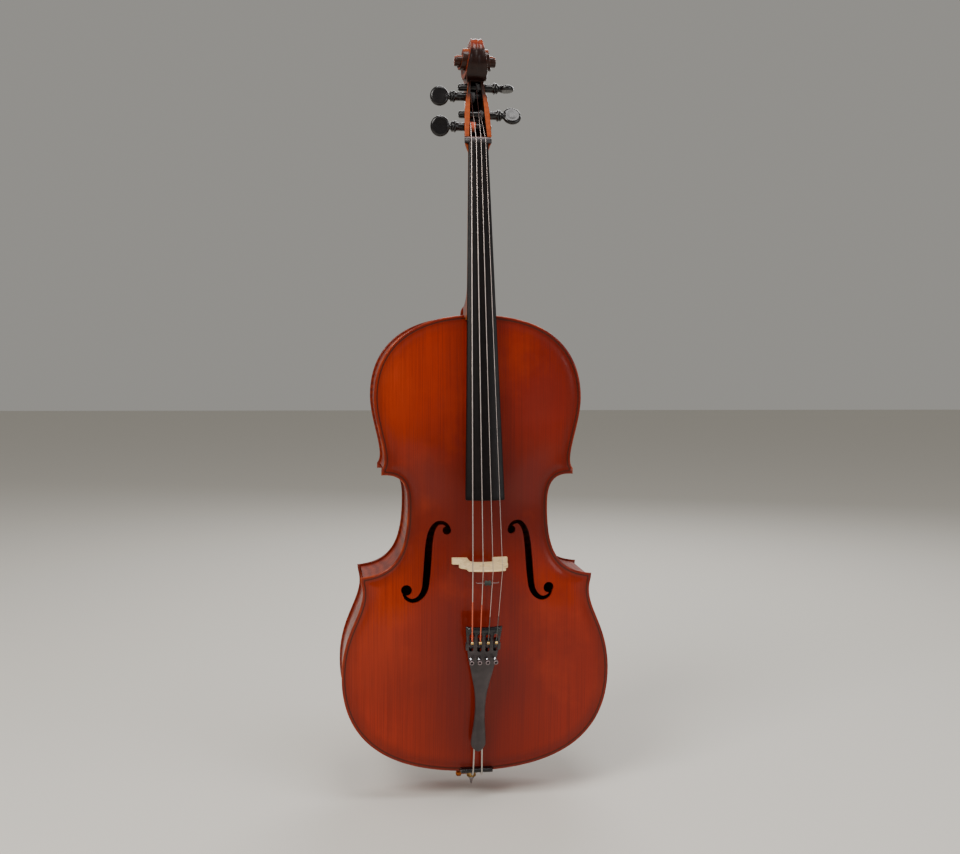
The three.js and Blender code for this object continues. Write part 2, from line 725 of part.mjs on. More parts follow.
function heartHole() {
  const shape = new THREE.Shape();
  shape.moveTo(0, 43);
  shape.bezierCurveTo(3, 50, 9, 52, 9, 58);
  shape.bezierCurveTo(9, 63, 3, 64, 0, 59);
  shape.bezierCurveTo(-3, 64, -9, 63, -9, 58);
  shape.bezierCurveTo(-9, 52, -3, 50, 0, 43);
  return shape;
}

function kidneyHole(side) {
  const shape = new THREE.Shape();
  shape.moveTo(20 * side, 46);
  shape.bezierCurveTo(20 * side, 52, 28 * side, 54, 31 * side, 48);
  shape.lineTo(46 * side, 46);
  shape.lineTo(46 * side, 43.5);
  shape.lineTo(31 * side, 44);
  shape.bezierCurveTo(28 * side, 39, 20 * side, 41, 20 * side, 46);
  return shape;
}

function bridge() {
  const depth = 40;
  const settings = { depth, bevelEnabled: false, curveSegments: 6 };
  const bottomHalf = BRIDGE_FOOT_THICKNESS / 2;
  const topHalf = BRIDGE_TOP_THICKNESS / 2;
  const faces = [bridgeFace(), heartHole(), kidneyHole(1), kidneyHole(-1)]
    .map((shape) => new THREE.ExtrudeGeometry(shape, settings).translate(0, 0, -depth / 2));
  const [blank, ...holes] = faces;
  const bottom = BRIDGE_FOOT_BOTTOM - 1;
  const top = BRIDGE_HEIGHT + 1;
  const wedge = slabX(polygon([
    [bottom, -bottomHalf], [bottom, bottomHalf], [top, topHalf], [top, -topHalf],
  ]), -60, 60);
  const standing = common(cut(blank, ...holes), wedge);
  standing.rotateX(Math.PI).translate(0, BRIDGE_TOP_Y + BRIDGE_HEIGHT, BRIDGE_Z);
  return cut(standing, archedPlate(-1).translate(0, -GAP, 0));
}

function soundPost() {
  const half = INNER_Y + 0.97 * archRise(POST.x, POST.z) + 1.5;
  const blank = rod(POST.radius, -half, half, 16).rotateX(Math.PI / 2)
    .translate(POST.x, 0, POST.z);
  return cut(blank, archedPlate(-1).translate(0, GAP, 0), archedPlate(1).translate(0, -GAP, 0));
}

function bassBar() {
  const rings = [];
  const steps = 12;
  for (let step = 0; step <= steps; step += 1) {
    const t = step / steps;
    const z = lerp(BAR.from, BAR.to, t);
    const top = -INNER_Y - archRise(BAR.x, z) - 1;
    const bottom = top + lerp(BAR.endHeight, BAR.height, Math.sin(Math.PI * t) ** 0.9);
    rings.push([[-1, top], [1, top], [1, bottom], [-1, bottom]].map(
      ([place, y]) => new THREE.Vector3(BAR.x + place * BAR.half, y, z),
    ));
  }
  return cut(loft(rings), archedPlate(-1).translate(0, GAP, 0));
}

// ---- saddle and plates with their notches -------------------------------------------------
function saddle() {
  const side = new THREE.Shape();
  side.moveTo(-INNER_Y - GAP, -0.5);
  side.lineTo(-INNER_Y - GAP, SADDLE.depth);
  side.lineTo(-EDGE_Y - 2, SADDLE.depth);
  side.quadraticCurveTo(SADDLE.top, SADDLE.depth - 1, SADDLE.top, 4);
  side.quadraticCurveTo(SADDLE.top, -0.5, SADDLE.top + 4, -0.5);
  return slabX(side, -SADDLE.half, SADDLE.half, 5);
}

function saddleNotch() {
  return box(-SADDLE.half - GAP, SADDLE.half + GAP, -90, -50, -5, SADDLE.depth + GAP);
}

function topPlate() {
  return cut(archedPlate(-1), ...soundHoleTools(1), ...soundHoleTools(-1), saddleNotch(),
    neckShaft(GAP));
}

function backPlate() {
  const button = new THREE.Shape();
  button.moveTo(-16, BODY_LENGTH - 6);
  button.lineTo(16, BODY_LENGTH - 6);
  button.lineTo(15, BODY_LENGTH + 6);
  button.absarc(0, BODY_LENGTH + 6, 15, 0, Math.PI, false);
  return join(archedPlate(1), slabY(button, INNER_Y, EDGE_Y, 8));
}

// ---- tailpiece and its tuners -------------------------------------------------------------
// The tailpiece's own frame: its lower end at the origin, Z along it and -Y out of its face.
const tail = new THREE.Group();
tail.position.set(0, TAIL_END_Y, TAIL_END_Z);
tail.rotation.x = TAIL_TILT;
cello.add(tail);

const tailSide = new THREE.SplineCurve([
  [4, 0], [10.5, 6], [12, 18], [8.3, 66], [10, 106], [17.5, 145], [23.5, 174], [29.5, TAIL_LENGTH],
].map(([half, z]) => new THREE.Vector2(half, z)));

function tailSection(half, z) {
  const steps = 6;
  const drop = Math.min(4.5, half * 0.5);
  const outer = [];
  const inner = [];
  for (let step = 0; step <= steps; step += 1) {
    const place = lerp(-1, 1, step / steps);
    outer.push(new THREE.Vector3(place * half, drop * place * place, z));
    inner.unshift(new THREE.Vector3(place * (half - 1.5), drop * place * place + TAIL_THICKNESS, z));
  }
  return [...outer, ...inner];
}

function tunerX(string) {
  return string.place * TAIL_STRING_PITCH;
}

function tailpiece() {
  const steps = 16;
  const rings = Array.from({ length: steps + 1 }, (_, step) => {
    const { x, y } = tailSide.getPoint(step / steps);
    return tailSection(x, y);
  });
  const outer = 1.5 * TAIL_STRING_PITCH + 6;
  const boss = box(-outer, outer, 4, 11.5, TUNER_AXLE_Z - 6, TUNER_AXLE_Z + 6);
  const fretSide = new THREE.Shape();
  fretSide.moveTo(8, TAIL_LENGTH - 1);
  fretSide.lineTo(-1.5, TAIL_LENGTH - 1);
  fretSide.quadraticCurveTo(-3.6, TAIL_LENGTH - 4, -1.5, TAIL_LENGTH - 7);
  fretSide.lineTo(3, TAIL_LENGTH - 9);
  fretSide.lineTo(8, TAIL_LENGTH - 9);
  const fret = slabX(fretSide, -27, 27, 4);
  const tools = STRINGS.flatMap((string) => {
    const x = tunerX(string);
    return [
      box(x - 3.4, x + 3.4, -20, 30, TUNER_AXLE_Z - 9, TAIL_LENGTH - 11),
      rod(2.1, -20, 20, 12).rotateX(Math.PI / 2).translate(x, 0, TUNER_SCREW_Z),
    ];
  });
  const axleHole = rod(1.9, -40, 40, 12).rotateY(Math.PI / 2)
    .translate(0, TUNER_AXLE_DEPTH, TUNER_AXLE_Z);
  const gutHoles = [-1, 1].map((side) => rod(2, -10, 14, 10).translate(side * GUT.half, GUT.depth, 0));
  return cut(join(loft(rings), boss, fret), ...tools, axleHole, ...gutHoles);
}

function tunerLever() {
  const side = new THREE.Shape();
  side.moveTo(10, 166);
  side.lineTo(10, 187);
  side.quadraticCurveTo(4, 188, 3, 192);
  side.lineTo(2, 205.2);
  side.lineTo(-5.5, 206.9);
  side.lineTo(-5.5, 208.9);
  side.lineTo(4, 208.9);
  side.quadraticCurveTo(12, 200, 12.5, 190);
  side.lineTo(12.5, 166);
  const blank = slabX(side, -2.5, 2.5, 5);
  const slit = box(-1.2, 1.2, -10, 2, 200, 215);
  const eye = rod(1.8, -5, 5, 12).rotateY(Math.PI / 2)
    .translate(0, TUNER_AXLE_DEPTH, TUNER_AXLE_Z);
  return cut(blank, slit, eye);
}

function tunerStem() {
  return rod(1.7, -9.7, 6, 12).rotateX(Math.PI / 2);
}

function tunerKnob() {
  const under = TUNER_TRAVEL + 0.3;
  const bore = 2;
  const profile = [[bore, under], [3.2, under], [3.9, under + 0.7], [3.9, under + 5],
    [3.2, under + 5.7], [bore, under + 5.7], [bore, under]];
  return turned(profile, 14).rotateX(Math.PI / 2);
}

function stringBall() {
  return turned([[0, -2.4], [2.2, -2.4], [2.9, -1.4], [2.9, 1.4], [2.2, 2.4], [0, 2.4]], 10)
    .rotateY(Math.PI / 2);
}

// ---- strings ------------------------------------------------------------------------------
function fromTail(x, y, z) {
  return new THREE.Vector3(x, y, z).applyEuler(tail.rotation).add(tail.position);
}

function pegOf(string) {
  return PEGS.find((peg) => peg.name === string.name);
}

// A thin straight-sided strand through points that never run along X.
function strand(points, radius, sides = 6) {
  return loft(points.map((point, order) => {
    const ahead = points[Math.min(order + 1, points.length - 1)].clone();
    const direction = ahead.sub(points[Math.max(order - 1, 0)]).normalize();
    const side = new THREE.Vector3(1, 0, 0).projectOnPlane(direction).normalize();
    const front = new THREE.Vector3().crossVectors(direction, side);
    return Array.from({ length: sides }, (_, corner) => {
      const angle = (corner / sides) * Math.PI * 2;
      return point.clone().addScaledVector(side, radius * Math.cos(angle))
        .addScaledVector(front, radius * Math.sin(angle));
    });
  }));
}

// A string from its peg over the nut and the bridge to its ball in the tailpiece.
function stringTube(string) {
  const peg = pegOf(string);
  const { radius } = string;
  const nutX = string.place * NUT_STRING_PITCH;
  const bridgeX = string.place * BRIDGE_STRING_PITCH;
  const clearance = radius + GAP * 2;
  const nutTop = new THREE.Vector3(nutX, -43 + camber(nutX) - clearance, BOARD_NUT_Z + 5);
  const bridgeTop = new THREE.Vector3(
    bridgeX, BRIDGE_TOP_Y + camber(bridgeX) - clearance - 0.6, BRIDGE_Z,
  );
  const pegEnd = new THREE.Vector3(
    peg.windFrom + radius, peg.y - WINDING_BORE - radius * 3 - GAP, peg.z - 3,
  );
  const ballEnd = fromTail(tunerX(string), -BALL_RISE, BALL_Z + 3.3);
  const between = (from, to, distance) => from.clone().lerp(to, distance / from.distanceTo(to));
  return strand([
    pegEnd, between(nutTop, pegEnd, 12), between(nutTop, pegEnd, 4),
    nutTop.clone().add(new THREE.Vector3(0, -0.3, 0)), between(nutTop, bridgeTop, 8),
    between(nutTop, bridgeTop, 300), between(bridgeTop, nutTop, 10),
    between(bridgeTop, nutTop, 2.5), between(bridgeTop, ballEnd, 2.5),
    between(bridgeTop, ballEnd, 10), between(ballEnd, bridgeTop, 40), ballEnd,
  ], radius);
}

// The turns of string round a peg, as one sleeve.
function winding(string) {
  const { radius } = string;
  const width = WINDING_TURNS * radius * 2;
  const rim = WINDING_BORE + radius * 2;
  return turned([
    [WINDING_BORE, 0], [rim - radius, 0], [rim, radius], [rim, width - radius],
    [rim - radius, width], [WINDING_BORE, width], [WINDING_BORE, 0],
  ], 18).rotateY(Math.PI / 2);
}

// ---- pegs ---------------------------------------------------------------------------------
// A peg lies along X with its head towards +X; its middle is on the centre plane of the box.
function pegShape(peg) {
  const { tip, collar } = peg;
  const profile = [[0, -tip], [4.4, -tip], [5.9, 1.5 - tip], [6.9, 26], [7.2, collar],
    [9.3, collar + 1], [9.3, collar + 3], [7.6, collar + 4], [8.6, collar + 6],
    [8.2, collar + 7.4], [5.6, collar + 9.5], [5, collar + 13], [0, collar + 13]];
  const shank = turned(profile, 12).rotateY(Math.PI / 2);
  const head = new THREE.SphereGeometry(peg.head, 16, 8).rotateX(Math.PI / 2)
    .scale(1, PEG_HEAD_THICKNESS / peg.head / 2, 1)
    .translate(collar + PEG_NECK + peg.head, 0, 0);
  return join(shank, head);
}

// ---- mute ---------------------------------------------------------------------------------
function muteRubber() {
  const profile = [[1.1, -5], [3.2, -5], [4, -3.5], [4, 3.5], [3.2, 5], [1.1, 5], [1.1, -5]];
  return turned(profile, 16).rotateY(Math.PI / 2);
}

function muteWire() {
  const { half } = MUTE;
  const route = [[-half, 7], [-half, 2.5], [-half + 2, 0.3], [-9, 0], [9, 0], [half - 2, 0.3],
    [half, 2.5], [half, 7]];
  return tube(route.map(([x, y]) => new THREE.Vector3(x, y, 0)), MUTE.wireRadius, 18, 8);
}

// ---- tail gut -----------------------------------------------------------------------------
function tailGut() {
  const loop = PLUG.neckRadius + GUT.radius + 0.8;
  const side = [
    fromTail(GUT.half, GUT.depth, 12), fromTail(GUT.half, GUT.depth, 1),
    new THREE.Vector3(7, SADDLE.top - 3.4, 10), new THREE.Vector3(7.3, SADDLE.top - 2.1, 4),
    new THREE.Vector3(7.5, SADDLE.top + 0.1, -1.8), new THREE.Vector3(7.8, SADDLE.top + 4, -3.1),
    new THREE.Vector3(9, -56, -3.1),
    new THREE.Vector3(13, -22, -3.1), new THREE.Vector3(loop, -3, -3.1),
    new THREE.Vector3(loop * 0.72, loop * 0.72, -3.1),
  ];
  const back = new THREE.Vector3(0, loop, -3.1);
  const mirrored = side.map((point) => new THREE.Vector3(-point.x, point.y, point.z)).reverse();
  return tube([...side, back, ...mirrored], GUT.radius, 46, 6);
}

// ---- assembly -----------------------------------------------------------------------------
add(cello, 'top_plate', topPlate(), VARNISH);
add(cello, 'back_plate', backPlate(), VARNISH);
for (const [part, stretches] of Object.entries(RIB_STRETCHES)) {
  add(cello, `${part}_rib_treble`, rib(stretches, 1), VARNISH);
  add(cello, `${part}_rib_bass`, rib(stretches, -1), VARNISH);
}
add(cello, 'top_lining', lining(-1), INNER_WOOD);
add(cello, 'back_lining', lining(1), INNER_WOOD);
for (const [name, side] of [['treble', 1], ['bass', -1]]) {
  add(cello, `lower_corner_block_${name}`, cornerBlock(
    [[lowerSide, 6, 7.6], [waistLower, 0.5, 3]], side,
  ), INNER_WOOD);
  add(cello, `upper_corner_block_${name}`, cornerBlock(
    [[waistUpper, 3, 5.5], [upperSide, 0.5, 2]], side,
  ), INNER_WOOD);
}
add(cello, 'end_block', endBlock(), INNER_WOOD);
add(cello, 'neck_block', neckBlock(), INNER_WOOD);
add(cello, 'sound_post', soundPost(), INNER_WOOD);
add(cello, 'bass_bar', bassBar(), INNER_WOOD);

add(cello, 'neck_and_scroll', neckAndScroll(), DARK_VARNISH);
add(cello, 'fingerboard', fingerboard(), EBONY);
add(cello, 'nut', nut(), EBONY);
add(cello, 'bridge', bridge(), BRIDGE_MAPLE);
add(cello, 'bottom_saddle', saddle(), EBONY);

add(cello, 'endpin_plug', endpinPlug(), EBONY);
add(cello, 'endpin_collar', endpinCollar(), BRASS);
add(cello, 'endpin_rod', endpinRod(), STEEL);
add(cello, 'endpin_thumb_screw', thumbScrew(), BRASS);

add(tail, 'tailpiece', tailpiece(), COMPOSITE);
add(tail, 'tuner_axle', rod(1.5, -24.5, 24.5, 12).rotateY(Math.PI / 2)
  .translate(0, TUNER_AXLE_DEPTH, TUNER_AXLE_Z), STEEL);
add(cello, 'tail_gut', tailGut(), STEEL);

for (const string of STRINGS) {
  const x = tunerX(string);
  add(tail, `tuner_lever_${string.name}`, tunerLever(), STEEL).position.set(x, 0, 0);
  add(tail, `tuner_stem_${string.name}`, tunerStem(), STEEL).position.set(x, 0, TUNER_SCREW_Z);
  add(tail, `tuner_knob_${string.name}`, tunerKnob(), STEEL).position.set(x, 0, TUNER_SCREW_Z);
  add(tail, `string_ball_${string.name}`, stringBall(), BRASS).position.set(x, -BALL_RISE, BALL_Z);
  add(cello, `string_${string.name}`, stringTube(string), STEEL);

  const peg = pegOf(string);
  const pegMesh = add(cello, `peg_${string.name}`, pegShape(pegOf(string)), EBONY);
  pegMesh.position.set(0, peg.y, peg.z);
  pegMesh.rotation.set(peg.turn, 0, peg.side < 0 ? Math.PI : 0);
  const sleeve = add(cello, `peg_winding_${string.name}`, winding(string), STEEL);
  sleeve.position.set(peg.windFrom, peg.y, peg.z);
}

const mute = new THREE.Group();
mute.position.set(0, MUTE.y, MUTE.z);
cello.add(mute);
add(mute, 'mute_rubber', muteRubber(), RUBBER);
add(mute, 'mute_wire', muteWire(), STEEL);

export default cello;
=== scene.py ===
"""The looks of a full-size cello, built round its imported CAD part.

Shapes are worked out in millimetres in the part's own frame (X to the treble side, Y from belly to back,
Z up the body) and turned into metres when a piece is made.
"""

import math
from collections import namedtuple

import bmesh
import bpy
import numpy as np
from mathutils import Matrix, Vector
from mathutils.geometry import delaunay_2d_cdt


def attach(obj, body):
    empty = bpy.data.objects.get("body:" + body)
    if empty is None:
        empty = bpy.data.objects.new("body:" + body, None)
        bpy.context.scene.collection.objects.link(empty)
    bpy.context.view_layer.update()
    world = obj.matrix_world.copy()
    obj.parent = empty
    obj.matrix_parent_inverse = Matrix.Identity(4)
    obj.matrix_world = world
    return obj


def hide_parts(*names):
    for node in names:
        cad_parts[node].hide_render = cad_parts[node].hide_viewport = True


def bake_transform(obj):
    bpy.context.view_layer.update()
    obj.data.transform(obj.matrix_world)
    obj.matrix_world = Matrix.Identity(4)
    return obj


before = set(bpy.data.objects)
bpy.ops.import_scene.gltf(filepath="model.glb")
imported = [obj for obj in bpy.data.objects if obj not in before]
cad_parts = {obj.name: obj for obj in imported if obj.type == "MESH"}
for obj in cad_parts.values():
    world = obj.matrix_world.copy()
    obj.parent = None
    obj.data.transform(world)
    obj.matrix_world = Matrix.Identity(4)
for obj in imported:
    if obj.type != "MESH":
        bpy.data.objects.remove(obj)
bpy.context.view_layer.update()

MM = 0.001
SHARP = math.radians(32)

# ---- the cello's driving dimensions, as in the CAD part ----
BODY_LENGTH = 755
EDGE_Y = 62.5
INNER_Y = 58
OVERHANG = 3.5
RIB_THICKNESS = 1.8
PLATE_EDGE = 4.5
ARCH_HEIGHT = 22.5
LOWER_HALF, WAIST_HALF, UPPER_HALF = 222.5, 115.5, 170.3

BOARD_NUT_Z, BOARD_END_Z = 1033, 463
BOARD_NUT_Y, BOARD_END_Y = -42.5, -148.5
BOARD_NUT_WIDTH, BOARD_END_WIDTH = 32, 62
BOARD_CAMBER = 63
BOARD_EDGE = 5
NUT_LENGTH, NUT_HALF = 10, 22

BRIDGE_Z, BRIDGE_TOP_Y, BRIDGE_HEIGHT = 357, -175, 91
TAIL_ORIGIN = np.array([0, -84, 40])
TAIL_TILT = math.radians(14.8)
TAIL_LENGTH = 227
TAIL_THICKNESS = 5
AXLE_Z, AXLE_DEPTH, SCREW_Z = 192, 8, 171
BALL_Z, BALL_RISE = 203, 3.5
PLUG_TOP, PLUG_BOTTOM, COLLAR_END, THUMB_Z = 34, -19, -31.5, -25.5
PIN_RADIUS, PIN_TIP, PIN_TOP = 5, -45, 430
HEEL = {"foot": 746, "rib_top": 768, "top": 812, "back_half": 15}
SCROLL_Y, SCROLL_Z = 8, 1173

STRINGS = {"C": (-1.5, 0.85), "G": (-0.5, 0.68), "D": (0.5, 0.52), "A": (1.5, 0.4)}
NUT_PITCH, BRIDGE_PITCH, TAIL_PITCH = 7.75, 15.5, 12.9
Peg = namedtuple("Peg", "z side turn wind_from tip collar head")
PEGS = {
    "C": Peg(1062, -1, 0.1, -12, 24, 34, 16.5),
    "A": Peg(1083, 1, -0.55, 5.5, 29, 34, 16),
    "G": Peg(1114, -1, -0.08, -9.5, 19.5, 34, 16),
    "D": Peg(1130, 1, 1.5, 0.5, 28, 30, 13),
}


def peg_centre(peg, x=0):
    """A place on a peg's axis, in the middle of the slanting pegbox."""
    return x, -38 + 31 * (peg.z - 1043) / 94 + 15, peg.z


# ---- camera ----
def make_camera():
    data = bpy.data.cameras.new("camera")
    data.lens = 43.575
    data.sensor_width = 36
    camera = bpy.data.objects.new("camera", data)
    camera.location = (-0.2722, -1.9307, 0.7001)
    camera.rotation_euler = [math.radians(angle) for angle in (86.142, -0.367, -8.333)]
    bpy.context.scene.collection.objects.link(camera)
    bpy.context.scene.camera = camera


make_camera()


# ---- numbers and curves ----
def lerp(a, b, t):
    return a + (b - a) * t


def smooth(t):
    t = np.clip(t, 0, 1)
    return t * t * (3 - 2 * t)


def bezier(points, count):
    a, b, c, d = (np.array(p, float) for p in points)
    t = np.linspace(0, 1, count)[:, None]
    return (1 - t) ** 3 * a + 3 * (1 - t) ** 2 * t * b + 3 * (1 - t) * t * t * c + t ** 3 * d


def trace(start, *legs, count=14):
    """A flat line: each leg is one point for a straight run, or three for a cubic curve."""
    line = [np.array([start], float)]
    for leg in legs:
        if np.ndim(leg[0]) == 0:
            line.append(np.array([leg], float))
        else:
            line.append(bezier([line[-1][-1], *leg], count)[1:])
    return np.concatenate(line)


def catmull(points, per_leg):
    """A smooth line through points."""
    p = np.array(points, float)
    p = np.concatenate([[2 * p[0] - p[1]], p, [2 * p[-1] - p[-2]]])
    t = np.linspace(0, 1, per_leg, endpoint=False)[:, None]
    legs = [
        0.5 * (2 * b + (c - a) * t + (2 * a - 5 * b + 4 * c - d) * t * t + (3 * b - a - 3 * c + d) * t ** 3)
        for a, b, c, d in zip(p, p[1:], p[2:], p[3:])
    ]
    return np.concatenate([*legs, p[-2:-1]])


def evenly(line, step):
    """The same line with points about a step apart."""
    lengths = np.concatenate([[0], np.cumsum(np.linalg.norm(np.diff(line, axis=0), axis=1))])
    places = np.linspace(0, lengths[-1], max(2, round(lengths[-1] / step) + 1))
    return np.stack([np.interp(places, lengths, line[:, k]) for k in range(line.shape[1])], axis=1)


def around(count):
    return np.linspace(0, 2 * math.pi, count, endpoint=False)


def circle(centre, radius, sides=32):
    return np.array(centre) + radius * np.stack([np.cos(around(sides)), np.sin(around(sides))], axis=1)


def unit(vectors):
    return vectors / np.linalg.norm(vectors, axis=1)[:, None]


def left_of(ahead):
    """Unit vectors that point to the left of directions of travel."""
    return np.stack([-unit(ahead)[:, 1], unit(ahead)[:, 0]], axis=1)


def loop_normals(loop):
    return left_of(np.roll(loop, -1, axis=0) - np.roll(loop, 1, axis=0))


def anticlockwise(loop):
    area = np.sum(loop[:, 0] * np.roll(loop[:, 1], -1) - loop[:, 1] * np.roll(loop[:, 0], -1))
    return loop if area > 0 else loop[::-1]


def is_inside(points, loop):
    result = np.zeros(len(points), bool)
    x, z = points[:, 0], points[:, 1]
    for (x0, z0), (x1, z1) in zip(loop, np.roll(loop, -1, axis=0)):
        crosses = (z0 > z) != (z1 > z)
        if z0 != z1:
            result ^= crosses & (x < (x1 - x0) * (z - z0) / (z1 - z0) + x0)
    return result


def distance_to(points, loop):
    """Each point's distance to the nearest place on a closed loop."""
    best = np.full(len(points), np.inf)
    for start, end in zip(loop, np.roll(loop, -1, axis=0)):
        along = end - start
        t = np.clip((points - start) @ along / max(along @ along, 1e-12), 0, 1)
        best = np.minimum(best, np.linalg.norm(points - start - t[:, None] * along, axis=1))
    return best


# ---- meshes ----
def loft(rings, capped=True):
    """A skin through closed rings of equal length."""
    rings = [np.array(ring, float) for ring in rings]
    size = len(rings[0])
    faces = []
    for row in range(len(rings) - 1):
        for side in range(size):
            a, b = row * size + side, row * size + (side + 1) % size
            faces.append((a, b, b + size, a + size))
    if capped:
        faces.append(tuple(range(size))[::-1])
        faces.append(tuple((len(rings) - 1) * size + k for k in range(size)))
    return np.concatenate(rings), faces


def lathe(profile, sides=48):
    """A turned solid about Z from [radius, height] points, closed at the axis or by its own last point."""
    rings = [[(r * math.cos(a), r * math.sin(a), h) for a in around(sides)] for r, h in profile]
    return loft(rings, capped=False)


def tube(points, radius, sides=12):
    """A round tube along a line; radius is one number or one for each point."""
    points = np.array(points, float)
    radii = np.broadcast_to(radius, len(points))
    ahead = unit(np.gradient(points, axis=0))
    side = np.cross(ahead[0], [0.31, 0.17, 0.94])
    rings = []
    for point, direction, size in zip(points, ahead, radii):
        side = side - direction * (side @ direction)
        side /= np.linalg.norm(side)
        up = np.cross(direction, side)
        angles = around(sides)[:, None]
        rings.append(point + size * (np.cos(angles) * side + np.sin(angles) * up))
    return loft(rings)


def joined(*parts):
    """Several meshes as one."""
    points, faces, start = [], [], 0
    for part_points, part_faces in parts:
        points.append(np.array(part_points, float))
        faces += [tuple(start + k for k in face) for face in part_faces]
        start += len(part_points)
    return np.concatenate(points), faces


def moved(part, matrix=None, offset=(0, 0, 0)):
    points, faces = part
    points = np.array(points, float)
    if matrix is not None:
        points = points @ np.array(matrix).T
    return points + np.array(offset), faces


def turn(axis, angle):
    return np.array(Matrix.Rotation(angle, 3, axis))


def mirrored(part):
    points, faces = part
    return np.array(points) * [-1, 1, 1], [face[::-1] for face in faces]


Z_TO_X, Z_TO_Y = turn("Y", math.pi / 2), turn("X", math.pi / 2)


def in_tail(part):
    """From the tailpiece's own frame into the part's frame."""
    return moved(part, turn("X", TAIL_TILT), TAIL_ORIGIN)


def tail_points(*points):
    return in_tail((points, []))[0]


def fill(outer, holes=(), rings=(), spacing=6):
    """Triangles that fill a loop round its holes, with rows of points at the rings' distances inside it."""
    outer = anticlockwise(np.array(outer, float))
    inward = loop_normals(outer)
    loops = [outer, *holes]
    points = [np.concatenate(loops)]
    edges, start = [], 0
    for loop in loops:
        edges += [(start + k, start + (k + 1) % len(loop)) for k in range(len(loop))]
        start += len(loop)
    low, high = outer.min(axis=0), outer.max(axis=0)
    u, v = np.meshgrid(np.arange(low[0], high[0], spacing), np.arange(low[1], high[1], spacing * 0.87))
    u[1::2] += spacing / 2
    grid = np.stack([u.ravel(), v.ravel()], axis=1)
    last = rings[-1] if rings else 0
    extra = [(outer + inward * ring, ring - 0.06) for ring in rings] + [(grid, last + spacing * 0.55)]
    for candidates, least in extra:
        keep = is_inside(candidates, outer) & (distance_to(candidates, outer) > least)
        candidates = candidates[keep]
        for hole in holes:
            away = ~is_inside(candidates, hole) & (distance_to(candidates, hole) > spacing * 0.35)
            candidates = candidates[away]
        points.append(candidates)
    found = delaunay_2d_cdt([Vector(p) for p in np.concatenate(points)], edges, [], 0, 1e-4)
    flat = np.array([tuple(p) for p in found[0]])
    faces = np.array([f for f in found[2] if len(f) == 3])
    centres = flat[faces].mean(axis=1)
    keep = is_inside(centres, outer)
    for hole in holes:
        keep &= ~is_inside(centres, hole)
    return flat, faces[keep]


def shell(flat, faces, front, back, place):
    """A closed skin between two heights over flat triangles; place turns (u, v, height) into points."""
    count = len(flat)
    points = np.concatenate([place(flat[:, 0], flat[:, 1], front), place(flat[:, 0], flat[:, 1], back)])
    edges = {}
    for a, b, c in faces:
        for pair in ((a, b), (b, c), (c, a)):
            edges[pair] = True
    walls = [(b, a, a + count, b + count) for a, b in edges if (b, a) not in edges]
    skins = [tuple(face) for face in faces] + [tuple(face[::-1] + count) for face in faces]
    return points, skins + walls


def make(name, part, material, body="instrument", values=None):
    """A piece of the cello from points in millimetres. It rides on a body and takes its CAD node's place."""
    points, faces = part
    mesh = bpy.data.meshes.new(name)
    used = sorted({int(k) for face in faces for k in face})
    order = {old: new for new, old in enumerate(used)}
    points = np.array(points)[used]
    mesh.from_pydata((points * MM).tolist(), [], [[order[int(k)] for k in face] for face in faces])
    for attribute, numbers in (values or {}).items():
        mesh.attributes.new(attribute, "FLOAT", "POINT").data.foreach_set("value", np.array(numbers)[used])
    shape = bmesh.new()
    shape.from_mesh(mesh)
    bmesh.ops.remove_doubles(shape, verts=shape.verts, dist=0.002 * MM)
    bmesh.ops.dissolve_degenerate(shape, edges=shape.edges, dist=0.001 * MM)
    bmesh.ops.recalc_face_normals(shape, faces=shape.faces)
    finish_mesh(shape, mesh)
    piece = bpy.data.objects.new(name, mesh)
    bpy.context.scene.collection.objects.link(piece)
    mesh.materials.append(material)
    if body:
        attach(piece, body)
        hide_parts(name)
    return piece


def finish_mesh(shape, mesh):
    for face in shape.faces:
        face.smooth = True
    for edge in shape.edges:
        edge.smooth = len(edge.link_faces) == 2 and edge.calc_face_angle(0) < SHARP
    shape.to_mesh(mesh)
    shape.free()


def carve(piece, cutters):
    """Cuts closed meshes out of a piece; each cutter is (part, material)."""
    for part, material in cutters:
        tool = make(piece.name + "_tool", part, material, body=None)
        modifier = piece.modifiers.new("carve", "BOOLEAN")
        modifier.operation = "DIFFERENCE"
        modifier.solver = "EXACT"
        modifier.material_mode = "TRANSFER"
        modifier.object = tool
        carved = bpy.data.meshes.new_from_object(piece.evaluated_get(bpy.context.evaluated_depsgraph_get()))
        piece.modifiers.clear()
        bpy.data.objects.remove(tool)
        shape = bmesh.new()
        shape.from_mesh(carved)
        finish_mesh(shape, carved)
        piece.data = carved
    return piece


